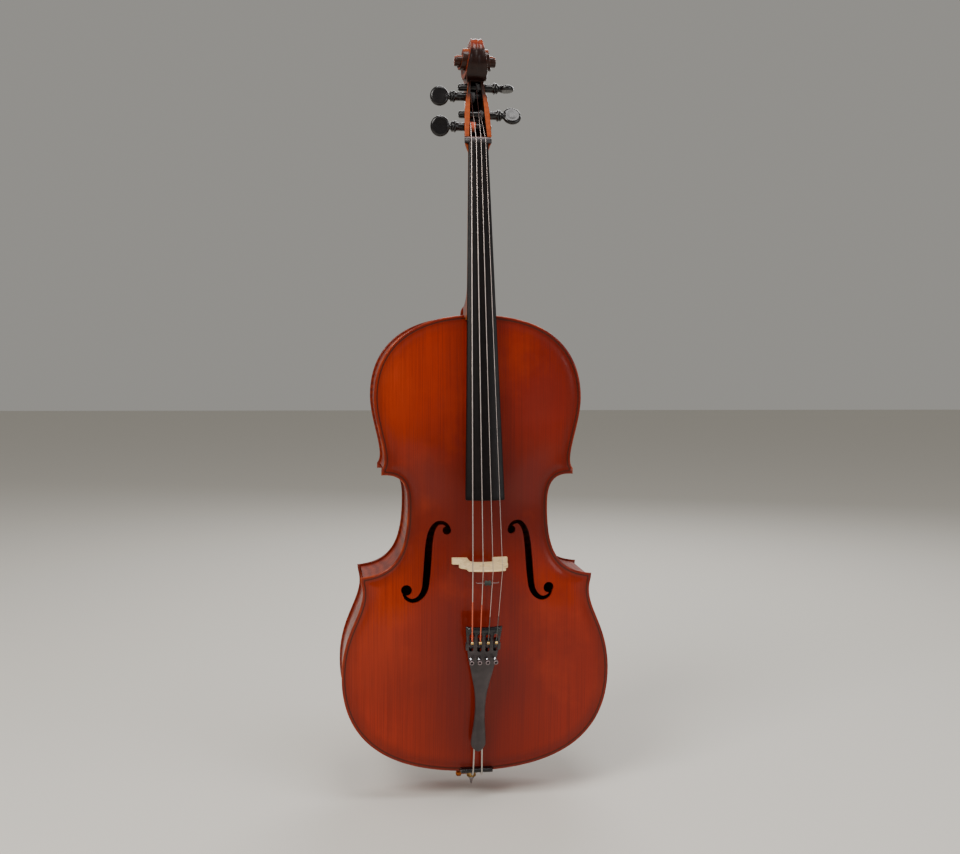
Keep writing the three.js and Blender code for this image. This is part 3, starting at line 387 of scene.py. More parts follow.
# ---- materials ----
class Look:
    """A material's node tree, built one node at a time."""

    def __init__(self, name):
        self.material = bpy.data.materials.new(name)
        self.material.use_nodes = True
        self.tree = self.material.node_tree
        self.shader = self.tree.nodes["Principled BSDF"]
        self.place = self.add("ShaderNodeTexCoord").outputs["Object"]

    def add(self, kind, settings=None, **inputs):
        node = self.tree.nodes.new(kind)
        for key, value in (settings or {}).items():
            setattr(node, key, value)
        for key, value in inputs.items():
            self.set(node.inputs[int(key[1:]) if key[1:].isdigit() else key], value)
        return node

    def set(self, socket, value):
        if isinstance(value, bpy.types.NodeSocket):
            self.tree.links.new(value, socket)
        else:
            socket.default_value = value

    def noise(self, scale, detail=4, rough=0.6, stretch=(1, 1, 1), shift=(0, 0, 0)):
        mapped = self.add("ShaderNodeMapping", Vector=self.place, Scale=stretch, Location=shift)
        node = self.add("ShaderNodeTexNoise", Vector=mapped.outputs[0], Scale=scale, Detail=detail,
                        Roughness=rough)
        return node.outputs[0]

    def math(self, operation, a, b=0.0):
        return self.add("ShaderNodeMath", {"operation": operation}, _0=a, _1=b, _2=0.0).outputs[0]

    def plus(self, a, b):
        return self.math("ADD", a, b)

    def minus(self, a, b):
        return self.math("SUBTRACT", a, b)

    def times(self, a, b):
        return self.math("MULTIPLY", a, b)

    def sine(self, a):
        return self.math("SINE", a)

    def size(self, a):
        return self.math("ABSOLUTE", a)

    def axes(self, vector):
        return self.add("ShaderNodeSeparateXYZ", Vector=vector).outputs

    def geometry(self, name):
        return self.add("ShaderNodeNewGeometry").outputs[name]

    def spread(self, value, low, high, to_low=0.0, to_high=1.0):
        node = self.add("ShaderNodeMapRange", {"clamp": True}, Value=value)
        for key, number in (("From Min", low), ("From Max", high), ("To Min", to_low), ("To Max", to_high)):
            self.set(node.inputs[key], number)
        return node.outputs[0]

    def mottle(self, low, high, *noise, **more):
        """Noise stretched so that it runs from 0 to 1 between two values."""
        return self.spread(self.noise(*noise, **more), low, high)

    def mix(self, share, a, b):
        node = self.add("ShaderNodeMix", {"data_type": "RGBA"}, _0=share)
        self.set(node.inputs[6], a)
        self.set(node.inputs[7], b)
        return node.outputs[2]

    def attribute(self, name):
        return self.add("ShaderNodeAttribute", {"attribute_name": name}).outputs["Fac"]

    def bump(self, height, strength, distance, normal=None):
        node = self.add("ShaderNodeBump", Height=height, Strength=strength, Distance=distance)
        if normal is not None:
            self.set(node.inputs["Normal"], normal)
        return node.outputs[0]

    def finish(self, **inputs):
        for key, value in inputs.items():
            self.set(self.shader.inputs[key.replace("_", " ")], value)
        return self.material


def rgb(r, g, b):
    """A colour given as it looks on screen, 0 to 255, turned into linear light."""
    return tuple(((v / 255 + 0.055) / 1.055) ** 2.4 if v > 10 else v / 3294.6 for v in (r, g, b)) + (1.0,)


def varnish(look, colour, height):
    """A clear, slightly worn coat over coloured wood."""
    scuffs = look.mottle(0.35, 0.75, 60, 6, 0.7, shift=(3, 1, 2))
    patches = look.mottle(0.35, 0.7, 9, 3, 0.5, shift=(7, 4, 1))
    rough = look.plus(look.times(scuffs, 0.13), look.times(patches, 0.08))
    bump = look.bump(height, 0.35, 0.0004)
    bump = look.bump(look.noise(420, 3, 0.6), 0.12, 0.0003, bump)
    return look.finish(
        Base_Color=colour, Roughness=look.plus(rough, 0.3), Normal=bump, Coat_Weight=0.3,
        Coat_Roughness=look.plus(look.times(rough, 0.6), 0.07), Specular_IOR_Level=0.14,
    )


def purfling(look, colour):
    """Two dark lines with a pale one between, a little way in from the plate's edge."""
    edge = look.attribute("edge")
    offset = look.size(look.minus(edge, PURFLING_AT))
    strip = look.spread(offset, 0.85, 0.95, 1, 0)
    core = look.spread(offset, 0.28, 0.36, 1, 0)
    dark = look.mix(strip, colour, rgb(14, 4, 3))
    return look.mix(core, dark, rgb(88, 32, 10))


PURFLING_AT = 5.2


def belly_look():
    look = Look("belly_varnish")
    wander = look.noise(3, 2, 0.5, shift=(1, 5, 2))
    lines = look.noise(1, 2, 0.45, stretch=(620, 30, 5))
    fine = look.noise(1, 4, 0.7, stretch=(1900, 80, 22), shift=(4, 0, 3))
    grain = look.plus(look.times(lines, 0.65), look.times(fine, 0.35))
    year = look.spread(grain, 0.42, 0.62)
    colour = look.mix(look.spread(wander, 0.3, 0.7), rgb(144, 31, 2), rgb(116, 21, 2))
    x, _, z = look.axes(look.place)
    amber = look.times(look.spread(x, -0.02, -0.12), look.mottle(0.3, 0.6, 5, 3, 0.5))
    colour = look.mix(look.times(amber, 0.4), colour, rgb(176, 52, 2))
    middle = look.times(look.spread(look.size(x), 0.03, 0.12, 1, 0),
                       look.spread(z, 0.56, 0.44))
    colour = look.mix(look.times(middle, 0.4), colour, rgb(90, 14, 3))
    # painted shade: the waist (the C-bouts) is darker, where the arching falls away from the light
    waist = look.spread(look.size(look.minus(z, 0.45)), 0.05, 0.14, 0.5, 0)
    colour = look.mix(waist, colour, rgb(76, 10, 3))
    colour = look.mix(look.times(year, 0.4), colour, rgb(80, 11, 2))
    wear = look.mottle(0.56, 0.75, 6, 5, 0.6, shift=(2, 8, 6))
    colour = look.mix(look.times(wear, 0.35), colour, rgb(168, 50, 4))
    edge = look.spread(look.attribute("edge"), 0, 26, 0.55, 0)
    colour = look.mix(edge, colour, rgb(64, 9, 3))
    rim = look.times(look.spread(look.attribute("edge"), 0.4, 2.4, 1, 0),
                    look.mottle(0.4, 0.6, 40, 5, 0.7))
    colour = look.mix(look.times(rim, 0.6), colour, rgb(190, 78, 22))
    return varnish(look, purfling(look, colour), grain)


def maple_look(name, light, deep, stripes, tilt=0.0, across=False, edged=False):
    """Flamed maple: stripes cross the grain, which runs along Z, or along the rib when across is set."""
    look = Look(name)
    x, _, z = look.axes(look.place)
    along = look.plus(z, look.times(look.size(x), tilt))
    if across:
        along = look.plus(look.times(look.size(x), 1.1), z)
    waver = look.noise(16, 3, 0.5, stretch=(1, 1, 2.5))
    phase = look.plus(look.times(along, stripes), look.times(waver, 9))
    wave = look.sine(phase)
    flame = look.times(look.spread(wave, -0.9, 0.9), look.mottle(0.25, 0.6, 22, 3, 0.5))
    pores = look.noise(1, 3, 0.7, stretch=(1300, 1300, 60) if not across else (200, 1500, 200))
    colour = look.mix(look.mottle(0.3, 0.7, 5, 4, 0.5, shift=(5, 2, 9)), light, deep)
    flamed = look.mix(look.times(flame, 0.5), colour, rgb(178, 60, 8))
    colour = look.mix(look.spread(pores, 0.6, 0.75, 0, 0.4), flamed, rgb(52, 12, 7))
    if edged:
        joint = look.spread(look.size(x), 0.0001, 0.0004, 0.6, 0)
        colour = look.mix(joint, colour, rgb(48, 12, 6))
        edge = look.spread(look.attribute("edge"), 0, 26, 0.5, 0)
        colour = purfling(look, look.mix(edge, colour, rgb(66, 14, 7)))
    height = look.plus(look.times(wave, 0.08), pores)
    return varnish(look, colour, height)


def neck_look():
    look = Look("neck_varnish")
    z = look.axes(look.place)[2]
    waver = look.noise(20, 3, 0.5, stretch=(1, 1, 2))
    wave = look.sine(look.plus(look.times(z, 620), look.times(waver, 10)))
    pores = look.noise(1, 3, 0.7, stretch=(1500, 1500, 70))
    red = look.mix(look.mottle(0.3, 0.7, 14, 4, 0.6), rgb(128, 38, 6), rgb(92, 21, 5))
    oiled = look.mix(look.mottle(0.3, 0.7, 9, 4, 0.6), rgb(150, 92, 46), rgb(118, 66, 30))
    ends = look.times(look.spread(z, 0.815, 0.86), look.spread(z, 1.0, 1.03, 1, 0))
    colour = look.mix(ends, red, oiled)
    cheek = look.times(look.spread(z, 1.03, 1.06), look.spread(z, 1.12, 1.16, 1, 0))
    colour = look.mix(look.times(cheek, 0.75), colour, rgb(150, 66, 20))
    colour = look.mix(look.spread(wave, -0.9, 0.9, 0, 0.22), colour, rgb(176, 84, 30))
    normal = look.axes(look.geometry("Normal"))
    shade = look.times(look.spread(z, 1.1, 1.118), look.spread(z, 1.184, 1.2, 1, 0))
    facing = look.plus(normal[1], look.times(normal[2], 0.8))
    shade = look.times(shade, look.spread(facing, -0.6, 0.1, 1, 0))
    colour = look.mix(look.times(shade, 0.96), colour, rgb(12, 4, 3))
    colour = look.mix(look.spread(pores, 0.6, 0.75, 0, 0.4), colour, rgb(46, 14, 8))
    # painted shade: darker in the hollows of the carving
    painted_hollow_shade = look.spread(look.geometry("Pointiness"), 0.42, 0.5, 0.85, 0)
    colour = look.mix(painted_hollow_shade, colour, rgb(30, 9, 6))
    # painted highlight: lighter on the ridges of the carving, less so in the throat's painted shade
    painted_ridge_highlight = look.spread(look.geometry("Pointiness"), 0.52, 0.62, 0, 0.6)
    painted_ridge_highlight = look.times(painted_ridge_highlight, look.spread(shade, 0, 0.7, 1, 0.1))
    colour = look.mix(painted_ridge_highlight, colour, rgb(176, 92, 38))
    return varnish(look, colour, pores)


def plain_wood(name, light, dark, stretch, rough=0.6, coat=0.0, depth=0.4, shine=0.5):
    """Bare or oiled wood with streaks along one direction."""
    look = Look(name)
    streaks = look.noise(1, 5, 0.65, stretch=stretch)
    patches = look.noise(12, 3, 0.5, shift=(4, 4, 1))
    share = look.plus(look.times(streaks, 0.7), look.times(patches, 0.3))
    colour = look.mix(look.spread(share, 0.38, 0.62), light, dark)
    spots = look.spread(look.noise(260, 4, 0.6, shift=(1, 2, 3)), 0.58, 0.7, 0, depth)
    colour = look.mix(spots, colour, tuple(v * 0.45 for v in dark[:3]) + (1.0,))
    bump = look.bump(streaks, 0.3, 0.0003)
    bump = look.bump(look.noise(900, 3, 0.6), 0.1, 0.0002, bump)
    roughness = look.spread(look.noise(90, 5, 0.7), 0.3, 0.7, rough - 0.08, rough + 0.1)
    return look.finish(Base_Color=colour, Roughness=roughness, Normal=bump, Coat_Weight=coat,
                       Coat_Roughness=0.2, Specular_IOR_Level=shine)


def metal(name, light, dark, rough, stretch=(400, 400, 900), tarnish=0.5, silk_and_shade=None):
    """Brushed metal, a little tarnished; the last argument colours a string's run through the pegbox, partly
    its silk and partly painted shade of the head.
    """
    look = Look(name)
    brushed = look.noise(1, 4, 0.7, stretch=stretch)
    stain = look.spread(look.noise(180, 5, 0.65, shift=(2, 6, 1)), 0.45, 0.75, 0, tarnish)
    colour = look.mix(stain, light, dark)
    if silk_and_shade:
        # darker above the nut: partly the string's silk, partly painted shade of the head over the pegbox
        z = look.axes(look.place)[2]
        colour = look.mix(look.spread(z, 1.046, 1.085), colour, silk_and_shade)
    roughness = look.plus(look.spread(brushed, 0.3, 0.7, rough - 0.05, rough + 0.07),
                          look.times(stain, 0.25))
    return look.finish(Base_Color=colour, Metallic=1.0, Roughness=roughness,
                       Normal=look.bump(brushed, 0.15, 0.0002))


def soft_matter(name, light, dark, rough, scale, strength, top=None):
    """Rubber or plastic. Its top is a colour, and the heights where it begins and is full."""
    look = Look(name)
    fine = look.noise(scale, 5, 0.7)
    colour = look.mix(look.mottle(0.4, 0.7, 40, 4, 0.6, shift=(3, 9, 2)), dark, light)
    roughness = look.spread(fine, 0.3, 0.7, *rough)
    if top:
        share = look.spread(look.axes(look.place)[2], *top[1:])
        colour = look.mix(share, colour, top[0])
        roughness = look.minus(roughness, look.times(share, 0.2))
    return look.finish(Base_Color=colour, Roughness=roughness, Normal=look.bump(fine, strength, 0.0003))


def silk_look(name, light, dark):
    """Thread wound round a string, in fine turns along its length."""
    look = Look(name)
    z = look.axes(look.place)[2]
    turns = look.sine(look.times(z, 14000))
    colour = look.mix(look.spread(turns, -1, 1, 0, 0.5), light, dark)
    return look.finish(Base_Color=colour, Roughness=0.7, Sheen_Weight=0.4,
                       Normal=look.bump(turns, 0.4, 0.0001))


BELLY = belly_look()
BACK = maple_look("back_varnish", rgb(136, 32, 3), rgb(100, 19, 3), 560, tilt=-0.28, edged=True)
RIBS = maple_look("rib_varnish", rgb(130, 31, 3), rgb(96, 19, 3), 640, across=True)
NECK = neck_look()
MORTISE = plain_wood("pegbox_hollow", rgb(44, 20, 12), rgb(24, 10, 7), (900, 900, 60), shine=0.2)
SPRUCE = plain_wood("bare_spruce", rgb(206, 168, 118), rgb(178, 134, 84), (900, 900, 20))
EBONY = plain_wood("ebony", rgb(19, 13, 14), rgb(8, 6, 6), (1100, 1100, 22), 0.38, 0.04, 0.3, 0.14)
POLISHED_EBONY = plain_wood("polished_ebony", rgb(17, 13, 15), rgb(7, 6, 7), (60, 1200, 1200), 0.24, 0.4,
                            0.2, 0.25)
MAPLE = plain_wood("bridge_maple", rgb(244, 220, 172), rgb(224, 192, 140), (1400, 500, 500), 0.55, 0.1,
                   0.2, 0.3)
COMPOSITE = soft_matter("composite", rgb(62, 53, 55), rgb(40, 34, 36), (0.36, 0.52), 900, 0.25,
                        (rgb(15, 15, 19), 0.243, 0.247))
# painted highlight: a pale line along the nut's top edge, where it would catch the light from above
NUT = soft_matter("nut_with_painted_highlight", rgb(40, 34, 37), rgb(26, 21, 23), (0.36, 0.52), 700, 0.25,
                  (rgb(128, 114, 114), 1.0402, 1.0415))
DULL_STEEL = metal("tuner_knob", rgb(142, 128, 130), rgb(92, 82, 84), 0.48)
RUBBER = soft_matter("rubber", rgb(52, 60, 54), rgb(32, 38, 34), (0.67, 0.85), 1400, 0.5)
STEEL = metal("polished_steel", rgb(206, 206, 212), rgb(140, 138, 138), 0.2)
BLACK_STEEL = metal("blackened_steel", rgb(66, 63, 68), rgb(34, 31, 33), 0.3)
# the strings' last colour is partly their silk and partly painted shade of the head over the pegbox
STRING_STEEL = metal("string_winding", rgb(196, 182, 176), rgb(136, 122, 116), 0.36, (600, 600, 5200), 0.3,
                     rgb(58, 38, 36))
CABLE = metal("tail_cord", rgb(186, 182, 176), rgb(116, 110, 104), 0.35, (1600, 1600, 1600))
BRASS = metal("brass", rgb(190, 158, 100), rgb(128, 88, 48), 0.27)
COPPER = metal("copper", rgb(200, 116, 56), rgb(126, 66, 32), 0.28)
RED_SILK = silk_look("red_silk", rgb(224, 92, 40), rgb(158, 46, 18))
GREEN_SILK = silk_look("green_silk", rgb(52, 62, 56), rgb(26, 32, 30))
DARK_SILK = silk_look("dark_silk", rgb(50, 46, 50), rgb(22, 20, 22))


# ---- body outline ----
# a corner's x, and the heights of the two outlines that meet there
LOWER_X, LOWER_BELOW, LOWER_ABOVE = 191, 319, 328.5
UPPER_X, UPPER_BELOW, UPPER_ABOVE = 158, 494.5, 504
BOUTS = {
    "lower_end": [(0, 0), (146, 0), (LOWER_HALF, 56), (LOWER_HALF, 165)],
    "lower_side": [(LOWER_HALF, 165), (LOWER_HALF, 245), (177, 273), (LOWER_X, LOWER_BELOW)],
    "waist_lower": [(LOWER_X + 1, LOWER_ABOVE), (132, 333), (WAIST_HALF, 370), (WAIST_HALF, 445)],
    "waist_upper": [(WAIST_HALF, 445), (WAIST_HALF, 478), (124, 497), (UPPER_X, UPPER_BELOW)],
    "upper_side": [(UPPER_X, UPPER_ABOVE), (143, 520), (UPPER_HALF, 575), (UPPER_HALF, 620)],
    "upper_end": [(UPPER_HALF, 620), (UPPER_HALF, 700), (116, BODY_LENGTH), (0, BODY_LENGTH)],
}


def bout(name, inset=0.0, start=0.0, end=1.0, count=60):
    """One stretch of the treble half's outline, moved inwards by a distance."""
    line = bezier(BOUTS[name], 400)
    line = line + inset * left_of(np.gradient(line, axis=0))
    return line[np.linspace(start * 399, end * 399, count).round().astype(int)]


def half_outline():
    return np.concatenate([evenly(bout(name, count=200), 2.6) for name in BOUTS])


def full_loop(half):
    """A loop from its treble half, which starts and ends on the centre line."""
    inner = half[half[:, 0] > 0.01]
    ends = half[[0, -1]]
    loop = np.concatenate([ends[:1], inner, ends[1:], (inner * [-1, 1])[::-1]])
    gaps = np.linalg.norm(loop - np.roll(loop, 1, axis=0), axis=1)
    return loop[gaps > 0.05]


def arch_half_width(z):
    waist = WAIST_HALF - 6
    low = lerp(waist, LOWER_HALF - 8, smooth((440 - z) / 240))
    high = lerp(waist, UPPER_HALF - 8, smooth((z - 440) / 150))
    return np.where(z < 440, low, high)


def arch_rise(x, z):
    across = np.minimum(np.abs(x) / arch_half_width(z), 1)
    lengthwise = np.minimum(np.abs(z - 385) / 378, 1)
    return ARCH_HEIGHT * (1 - across ** 2.2) ** 2 * (1 - lengthwise ** 3.2) ** 1.8


# ---- belly and back ----
CHANNEL = {"depth": 1.3, "at": 9.5, "width": 4.5}
EDGE_ROUND = {"outer": 2.4, "inner": 1.6}


def round_off(edge, radius):
    """How far a rounded edge has dropped, as a share, at a distance from the rim."""
    return 1 - np.sqrt(1 - np.clip(1 - edge / radius, 0, 1) ** 2)


def plate_heights(flat, loop):
    edge = distance_to(flat, loop)
    edge[edge < 0.02] = 0
    rise = arch_rise(flat[:, 0], flat[:, 1])
    channel = CHANNEL["depth"] * np.exp(-((edge - CHANNEL["at"]) / CHANNEL["width"]) ** 2)
    outer = EDGE_Y + rise - channel - PLATE_EDGE / 2 * round_off(edge, EDGE_ROUND["outer"])
    inner = INNER_Y + 0.97 * rise + PLATE_EDGE / 2 * round_off(edge, EDGE_ROUND["inner"])
    return edge, outer, np.minimum(inner, outer)


F_HOLE = {"upper_eye": ((53, 406), 6.8), "lower_eye": ((117.5, 307.5), 8.7), "middle": (83.5, 355),
          "stem": 5.9, "nick": 2}


def sound_hole(side):
    """The loops that together make one sound hole: the slot, its two nicks and the two eyes."""
    x, z = F_HOLE["middle"]
    # along the middle of the slot, from eye to eye: across, up, and half the slot's width
    course = catmull([(48.5, 405, 2.2), (51.5, 413, 2.6), (59, 418, 2.9), (68.5, 416.5, 3.6),
                      (76.5, 405, 4.8), (81, 385, 5.6), (x, z, F_HOLE["stem"]), (85.5, 330, 5.8),
                      (88.5, 309, 5.3), (96.5, 296, 4.3), (107, 290.8, 3.6), (117, 294, 3),
                      (122.5, 302, 2.2)], 6)
    centre, half = course[:, :2], course[:, 2:]
    aside = left_of(np.gradient(centre, axis=0)) * half
    stem = np.concatenate([centre + aside, (centre - aside)[::-1]])
    reach = F_HOLE["stem"] + F_HOLE["nick"]
    nicks = np.array([(x - reach, z + 1.2), (x, z - 2), (x + reach, z - 1.2), (x, z + 2)])
    eyes = [circle(*F_HOLE[eye]) for eye in ("upper_eye", "lower_eye")]
    return [loop * [side, 1] for loop in (stem, nicks, *eyes)]


def rectangle(x0, x1, z0, z1):
    return np.array([(x0, z0), (x1, z0), (x1, z1), (x0, z1)], float)


PLATE_RINGS = (0.2, 0.7, 1.5, 2.6, 4.2, 6.2, 8.6, 11.5, 15)


def make_plate(name, loop, holes, facing, material):
    flat, faces = fill(loop, holes, PLATE_RINGS, 6)
    edge, outer, inner = plate_heights(flat, loop)

    def place(x, z, height):
        return np.stack([x, facing * height, z], axis=1)

    make(name, shell(flat, faces, outer, inner, place), material, values={"edge": np.tile(edge, 2)})


def make_belly():
    notch = rectangle(-26.3, 26.3, -5, 7.3)
    neck_cut = rectangle(-24, 24, 745.6, 760)
    holes = [*sound_hole(1), *sound_hole(-1), notch, neck_cut]
    make_plate("top_plate", full_loop(half_outline()), holes, -1, BELLY)


def make_back():
    half = half_outline()
    button = [(16, 754), (15.4, 757), (15, 761)]
    arc = [(15 * math.cos(a), 761 + 15 * math.sin(a)) for a in np.linspace(0.15, math.pi / 2, 10)]
    half = np.concatenate([half[(half[:, 0] > 17) | (half[:, 1] < 300)], button, arc])
    half[-1, 0] = 0
    make_plate("back_plate", full_loop(half), [], 1, BACK)


# ---- ribs ----
RIBS_AT = {
    "lower": [("lower_end", 0.002, 1.0), ("lower_side", 0.0, 0.968)],
    "centre": [("waist_lower", 0.03, 1.0), ("waist_upper", 0.0, 0.955)],
    "upper": [("upper_side", 0.035, 1.0), ("upper_end", 0.0, 0.995)],
}


def make_ribs():
    for where, ((first, *span), (second, *rest)) in RIBS_AT.items():
        outer, inner = (np.concatenate([bout(first, inset, *span), bout(second, inset, *rest)[1:]])
                        for inset in (OVERHANG, OVERHANG + RIB_THICKNESS))
        rings = [[(a, -INNER_Y, b), (a, -20, b), (a, 20, b), (a, INNER_Y, b),
                  (c, INNER_Y, d), (c, -INNER_Y, d)] for (a, b), (c, d) in zip(outer, inner)]
        rib = loft(rings)
        make(f"{where}_rib_treble", rib, RIBS)
        make(f"{where}_rib_bass", mirrored(rib), RIBS)


# ---- fingerboard, nut, neck ----
def board_y(z):
    return lerp(BOARD_NUT_Y, BOARD_END_Y, (BOARD_NUT_Z - z) / (BOARD_NUT_Z - BOARD_END_Z))


def board_half(z):
    return lerp(BOARD_NUT_WIDTH, BOARD_END_WIDTH, (BOARD_NUT_Z - z) / (BOARD_NUT_Z - BOARD_END_Z)) / 2


def camber(x):
    return BOARD_CAMBER - np.sqrt(BOARD_CAMBER ** 2 - x * x)


def glue_y(z):
    return board_y(z) + camber(board_half(z)) + BOARD_EDGE


def make_fingerboard():
    rings = []
    for z in (BOARD_END_Z, BOARD_END_Z + 0.4, BOARD_END_Z + 1.2, *np.linspace(470, 726, 9), 738, 742,
              *np.linspace(760, BOARD_NUT_Z, 9)):
        pull = 0.9 * round_off(np.array(z - BOARD_END_Z), 1.2)
        half = board_half(z) - pull
        x = half * np.sin(np.linspace(-math.pi / 2, math.pi / 2, 25))
        edge = np.clip((np.abs(x) - half + 1.2) / 1.2, 0, 1) ** 3
        top = board_y(z) + camber(x) + 0.9 * edge + pull
        hollow = 6.5 * float(smooth((742 - z) / 10)) * float(smooth((z - BOARD_END_Z) / 3) * 0.3 + 0.7)
        under_x = np.linspace(half, -half, 13)
        under = glue_y(z) - pull - hollow * (1 - (under_x / half) ** 4)
        rings.append([(a, b, z) for a, b in zip(x, top)] + [(a, b, z) for a, b in zip(under_x, under)])
    make("fingerboard", loft(rings), EBONY)


def make_nut():
    seat = glue_y(BOARD_NUT_Z + 5)
    x = np.linspace(-NUT_HALF, NUT_HALF, 149)
    groove = sum(np.exp(-((x - at * NUT_PITCH) / (radius + 0.3)) ** 2) for at, radius in STRINGS.values())
    edge = 0.9 * np.clip((np.abs(x) - NUT_HALF + 1.2) / 1.2, 0, 1) ** 2
    rings = []
    profile = (0.2, -42.6), (1, -43.1), (3.5, -43.3), (6, -42.6), (8.2, -41), (9.4, -39.4), (9.8, -38.4)
    for z, top in profile:
        front = top + camber(x) + 0.75 * groove + edge
        rings.append([(a, b, BOARD_NUT_Z + z) for a, b in zip(x, front)]
                     + [(NUT_HALF, seat, BOARD_NUT_Z + z), (-NUT_HALF, seat, BOARD_NUT_Z + z)])
    make("nut", loft(rings), NUT)


def neck_shaft():
    """The heel and the neck, up to where the pegbox begins."""
    rings = []
    heel = np.linspace(0, 1, 30) ** 1.2
    stations = [HEEL["foot"], 757, *lerp(HEEL["rib_top"], HEEL["top"], heel), *np.linspace(822, 1024, 12)]
    for z in stations:
        sweep = (1 - np.clip((z - HEEL["rib_top"]) / (HEEL["top"] - HEEL["rib_top"]), 0, 1)) ** 2.6
        depth = lerp(21, 17, np.clip((z - HEEL["top"]) / 224, 0, 1))
        front = glue_y(z) + 0.1
        back = lerp(front + depth, INNER_Y, sweep)
        half = board_half(z)
        back_half = lerp(half, HEEL["back_half"], sweep)
        angles = np.linspace(0, math.pi, 33)
        widths = lerp(half, back_half, np.sin(angles) ** 2)
        ys = lerp(front, back, np.sin(angles) ** 0.8)
        rings.append([(w * math.cos(a), y, z) for w, a, y in zip(widths, angles, ys)])
    return loft(rings)


def head_contour():
    """Side view of the pegbox and the scroll's outer turn, as (y, z), from the nut round to the neck."""
    contour = trace(
        (-36, BOARD_NUT_Z - 4), (-35.4, BOARD_NUT_Z), (-34.4, BOARD_NUT_Z + 0.4),
        (-34.2, BOARD_NUT_Z + NUT_LENGTH), (-37.8, BOARD_NUT_Z + NUT_LENGTH + 0.4), (-7, 1137),
        (-6.2, 1139.5), ((-12, 1139.5), (-18, 1144), (-23, 1153)),
        ((-37, 1174), (-26, 1209), (6, 1209)),
        ((32, 1209), (46, 1189), (45, 1165)),
        ((44, 1135), (28, 1095), (12, 1062)),
        ((2, 1044), (-6, 1029), (-22, 1014)),
        (-35, 1014), count=40,
    )
    return evenly(contour, 1.6)


# the head's half width: height, at its front, at its back
HEAD_HALF = np.array([
    (1014, 15.4, 11), (1022, 16, 12.5), (1029, 20, 14.6), (1033, 22, 15.4), (1043, 22.4, 15.5),
    (1070, 21.3, 15), (1090, 20.4, 14.5), (1102, 19, 14), (1115, 16.2, 13.6), (1124, 14, 13.4),
    (1137, 12.8, 13.4), (1140.5, 16, 14), (1150, 17.2, 14.6), (1165, 15.4, 14.6), (1180, 12.6, 13.2),
    (1196, 10.6, 11.4), (1204, 9.4, 10.2), (1209, 8.6, 9)])


def head_half(y, z):
    """Half the head's width: wide at the nut, narrow at the throat and wide again at the chin."""
    front = lerp(-38, -7, np.clip((z - 1043) / 94, 0, 1))
    at_front, at_back = (np.interp(z, HEAD_HALF[:, 0], HEAD_HALF[:, k]) for k in (1, 2))
    return lerp(at_front, at_back, np.clip((y - front) / 46, 0, 1))


def head_slab():
    """The pegbox and outer turn, with two flutes along its back and over the top."""
    contour = anticlockwise(head_contour())
    inward = loop_normals(contour)
    y, z = contour.T
    over_top = smooth((z - 1150) / 8) * (y < 20)
    behind = smooth((z - 1046) / 40) * smooth((y - lerp(-38, -7, (z - 1043) / 94) - 18) / 8)
    flute = np.clip(1.1 * over_top + 2.6 * behind, 0, 2.6)
    half = head_half(y, z)
    rings = []
    stations = np.concatenate([np.linspace(-0.94, 0.94, 33), [0.97, 0.99, 1.0], [-0.97, -0.99, -1.0]])
    for t in np.sort(stations):
        chamfer = 1.3 * np.clip((abs(t) - 0.94) / 0.06, 0, 1) ** 2
        depth = flute * math.sin(math.pi * min(abs(t) / 0.94, 1)) ** 1.3 + chamfer
        line = contour + inward * depth[:, None]
        rings.append(np.stack([t * half, line[:, 0], line[:, 1]], axis=1))
    band = loft(rings, capped=False)
    rim = contour + inward * 1.3
    flat, faces = fill(rim, (), (), 5)
    width = head_half(flat[:, 0], flat[:, 1])
    on_rim = distance_to(flat, rim) < 0.01
    nearest = np.argmin(np.linalg.norm(flat[:, None] - rim[None], axis=2), axis=1)
    width[on_rim] = half[nearest[on_rim]]
    flank = np.stack([width, flat[:, 0], flat[:, 1]], axis=1)
    right = (flank, [tuple(face) for face in faces])
    return joined(band, right, mirrored(right))


VOLUTE = {"from": 222, "to": 930, "radius": 25.5, "shrink": 0.83}
VOLUTE_HALF = np.array([(-140, 10), (222, 17.5), (270, 20), (360, 20.5), (450, 20.5), (540, 23), (630, 27),
                        (720, 29.5), (810, 31), (930, 32.8)])


def volute_radius(angle):
    return VOLUTE["radius"] * VOLUTE["shrink"] ** ((angle - 360) / 90)


def volute_half(angle):
    return float(np.interp(angle, VOLUTE_HALF[:, 0], VOLUTE_HALF[:, 1]))


def volute():
    """The treble side's spiral: each turn stands further out, with a hollowed flank and a chamfered rim."""
    rings = []
    for angle in np.arange(VOLUTE["from"], VOLUTE["to"] + 1, 5.0):
        radius, half = volute_radius(angle), volute_half(angle)
        inner = max(volute_radius(angle + 360) - 1.5, 5.5)
        buried = volute_half(angle - 360) - 4 if angle - 360 > VOLUTE["from"] else 9
        section = [(inner, buried), (radius, buried), (radius, half - 1.5), (radius - 0.4, half - 0.45),
                   (radius - 1.5, half)]
        for share in (0.15, 0.35, 0.55, 0.75, 0.9, 1.0):
            section.append((lerp(radius - 1.5, inner, share), half - 2.8 * float(smooth(share * 1.15))))
        a = math.radians(angle)
        rings.append([(x, SCROLL_Y + r * math.cos(a), SCROLL_Z + r * math.sin(a)) for r, x in section])
    eye = lathe([(0, 22), (8.2, 22), (8.2, 32.6), (7.9, 33.6), (7, 34.2), (4, 34.45), (0, 34.5)], 40)
    return joined(loft(rings), moved(eye, Z_TO_X, (0, SCROLL_Y, SCROLL_Z)))


MORTISE_HALF = (1043, 1075, 1102, 1115, 1123, 1129, 1145), (14.8, 13.8, 11.8, 10.7, 9.9, 8.4, 7.6)


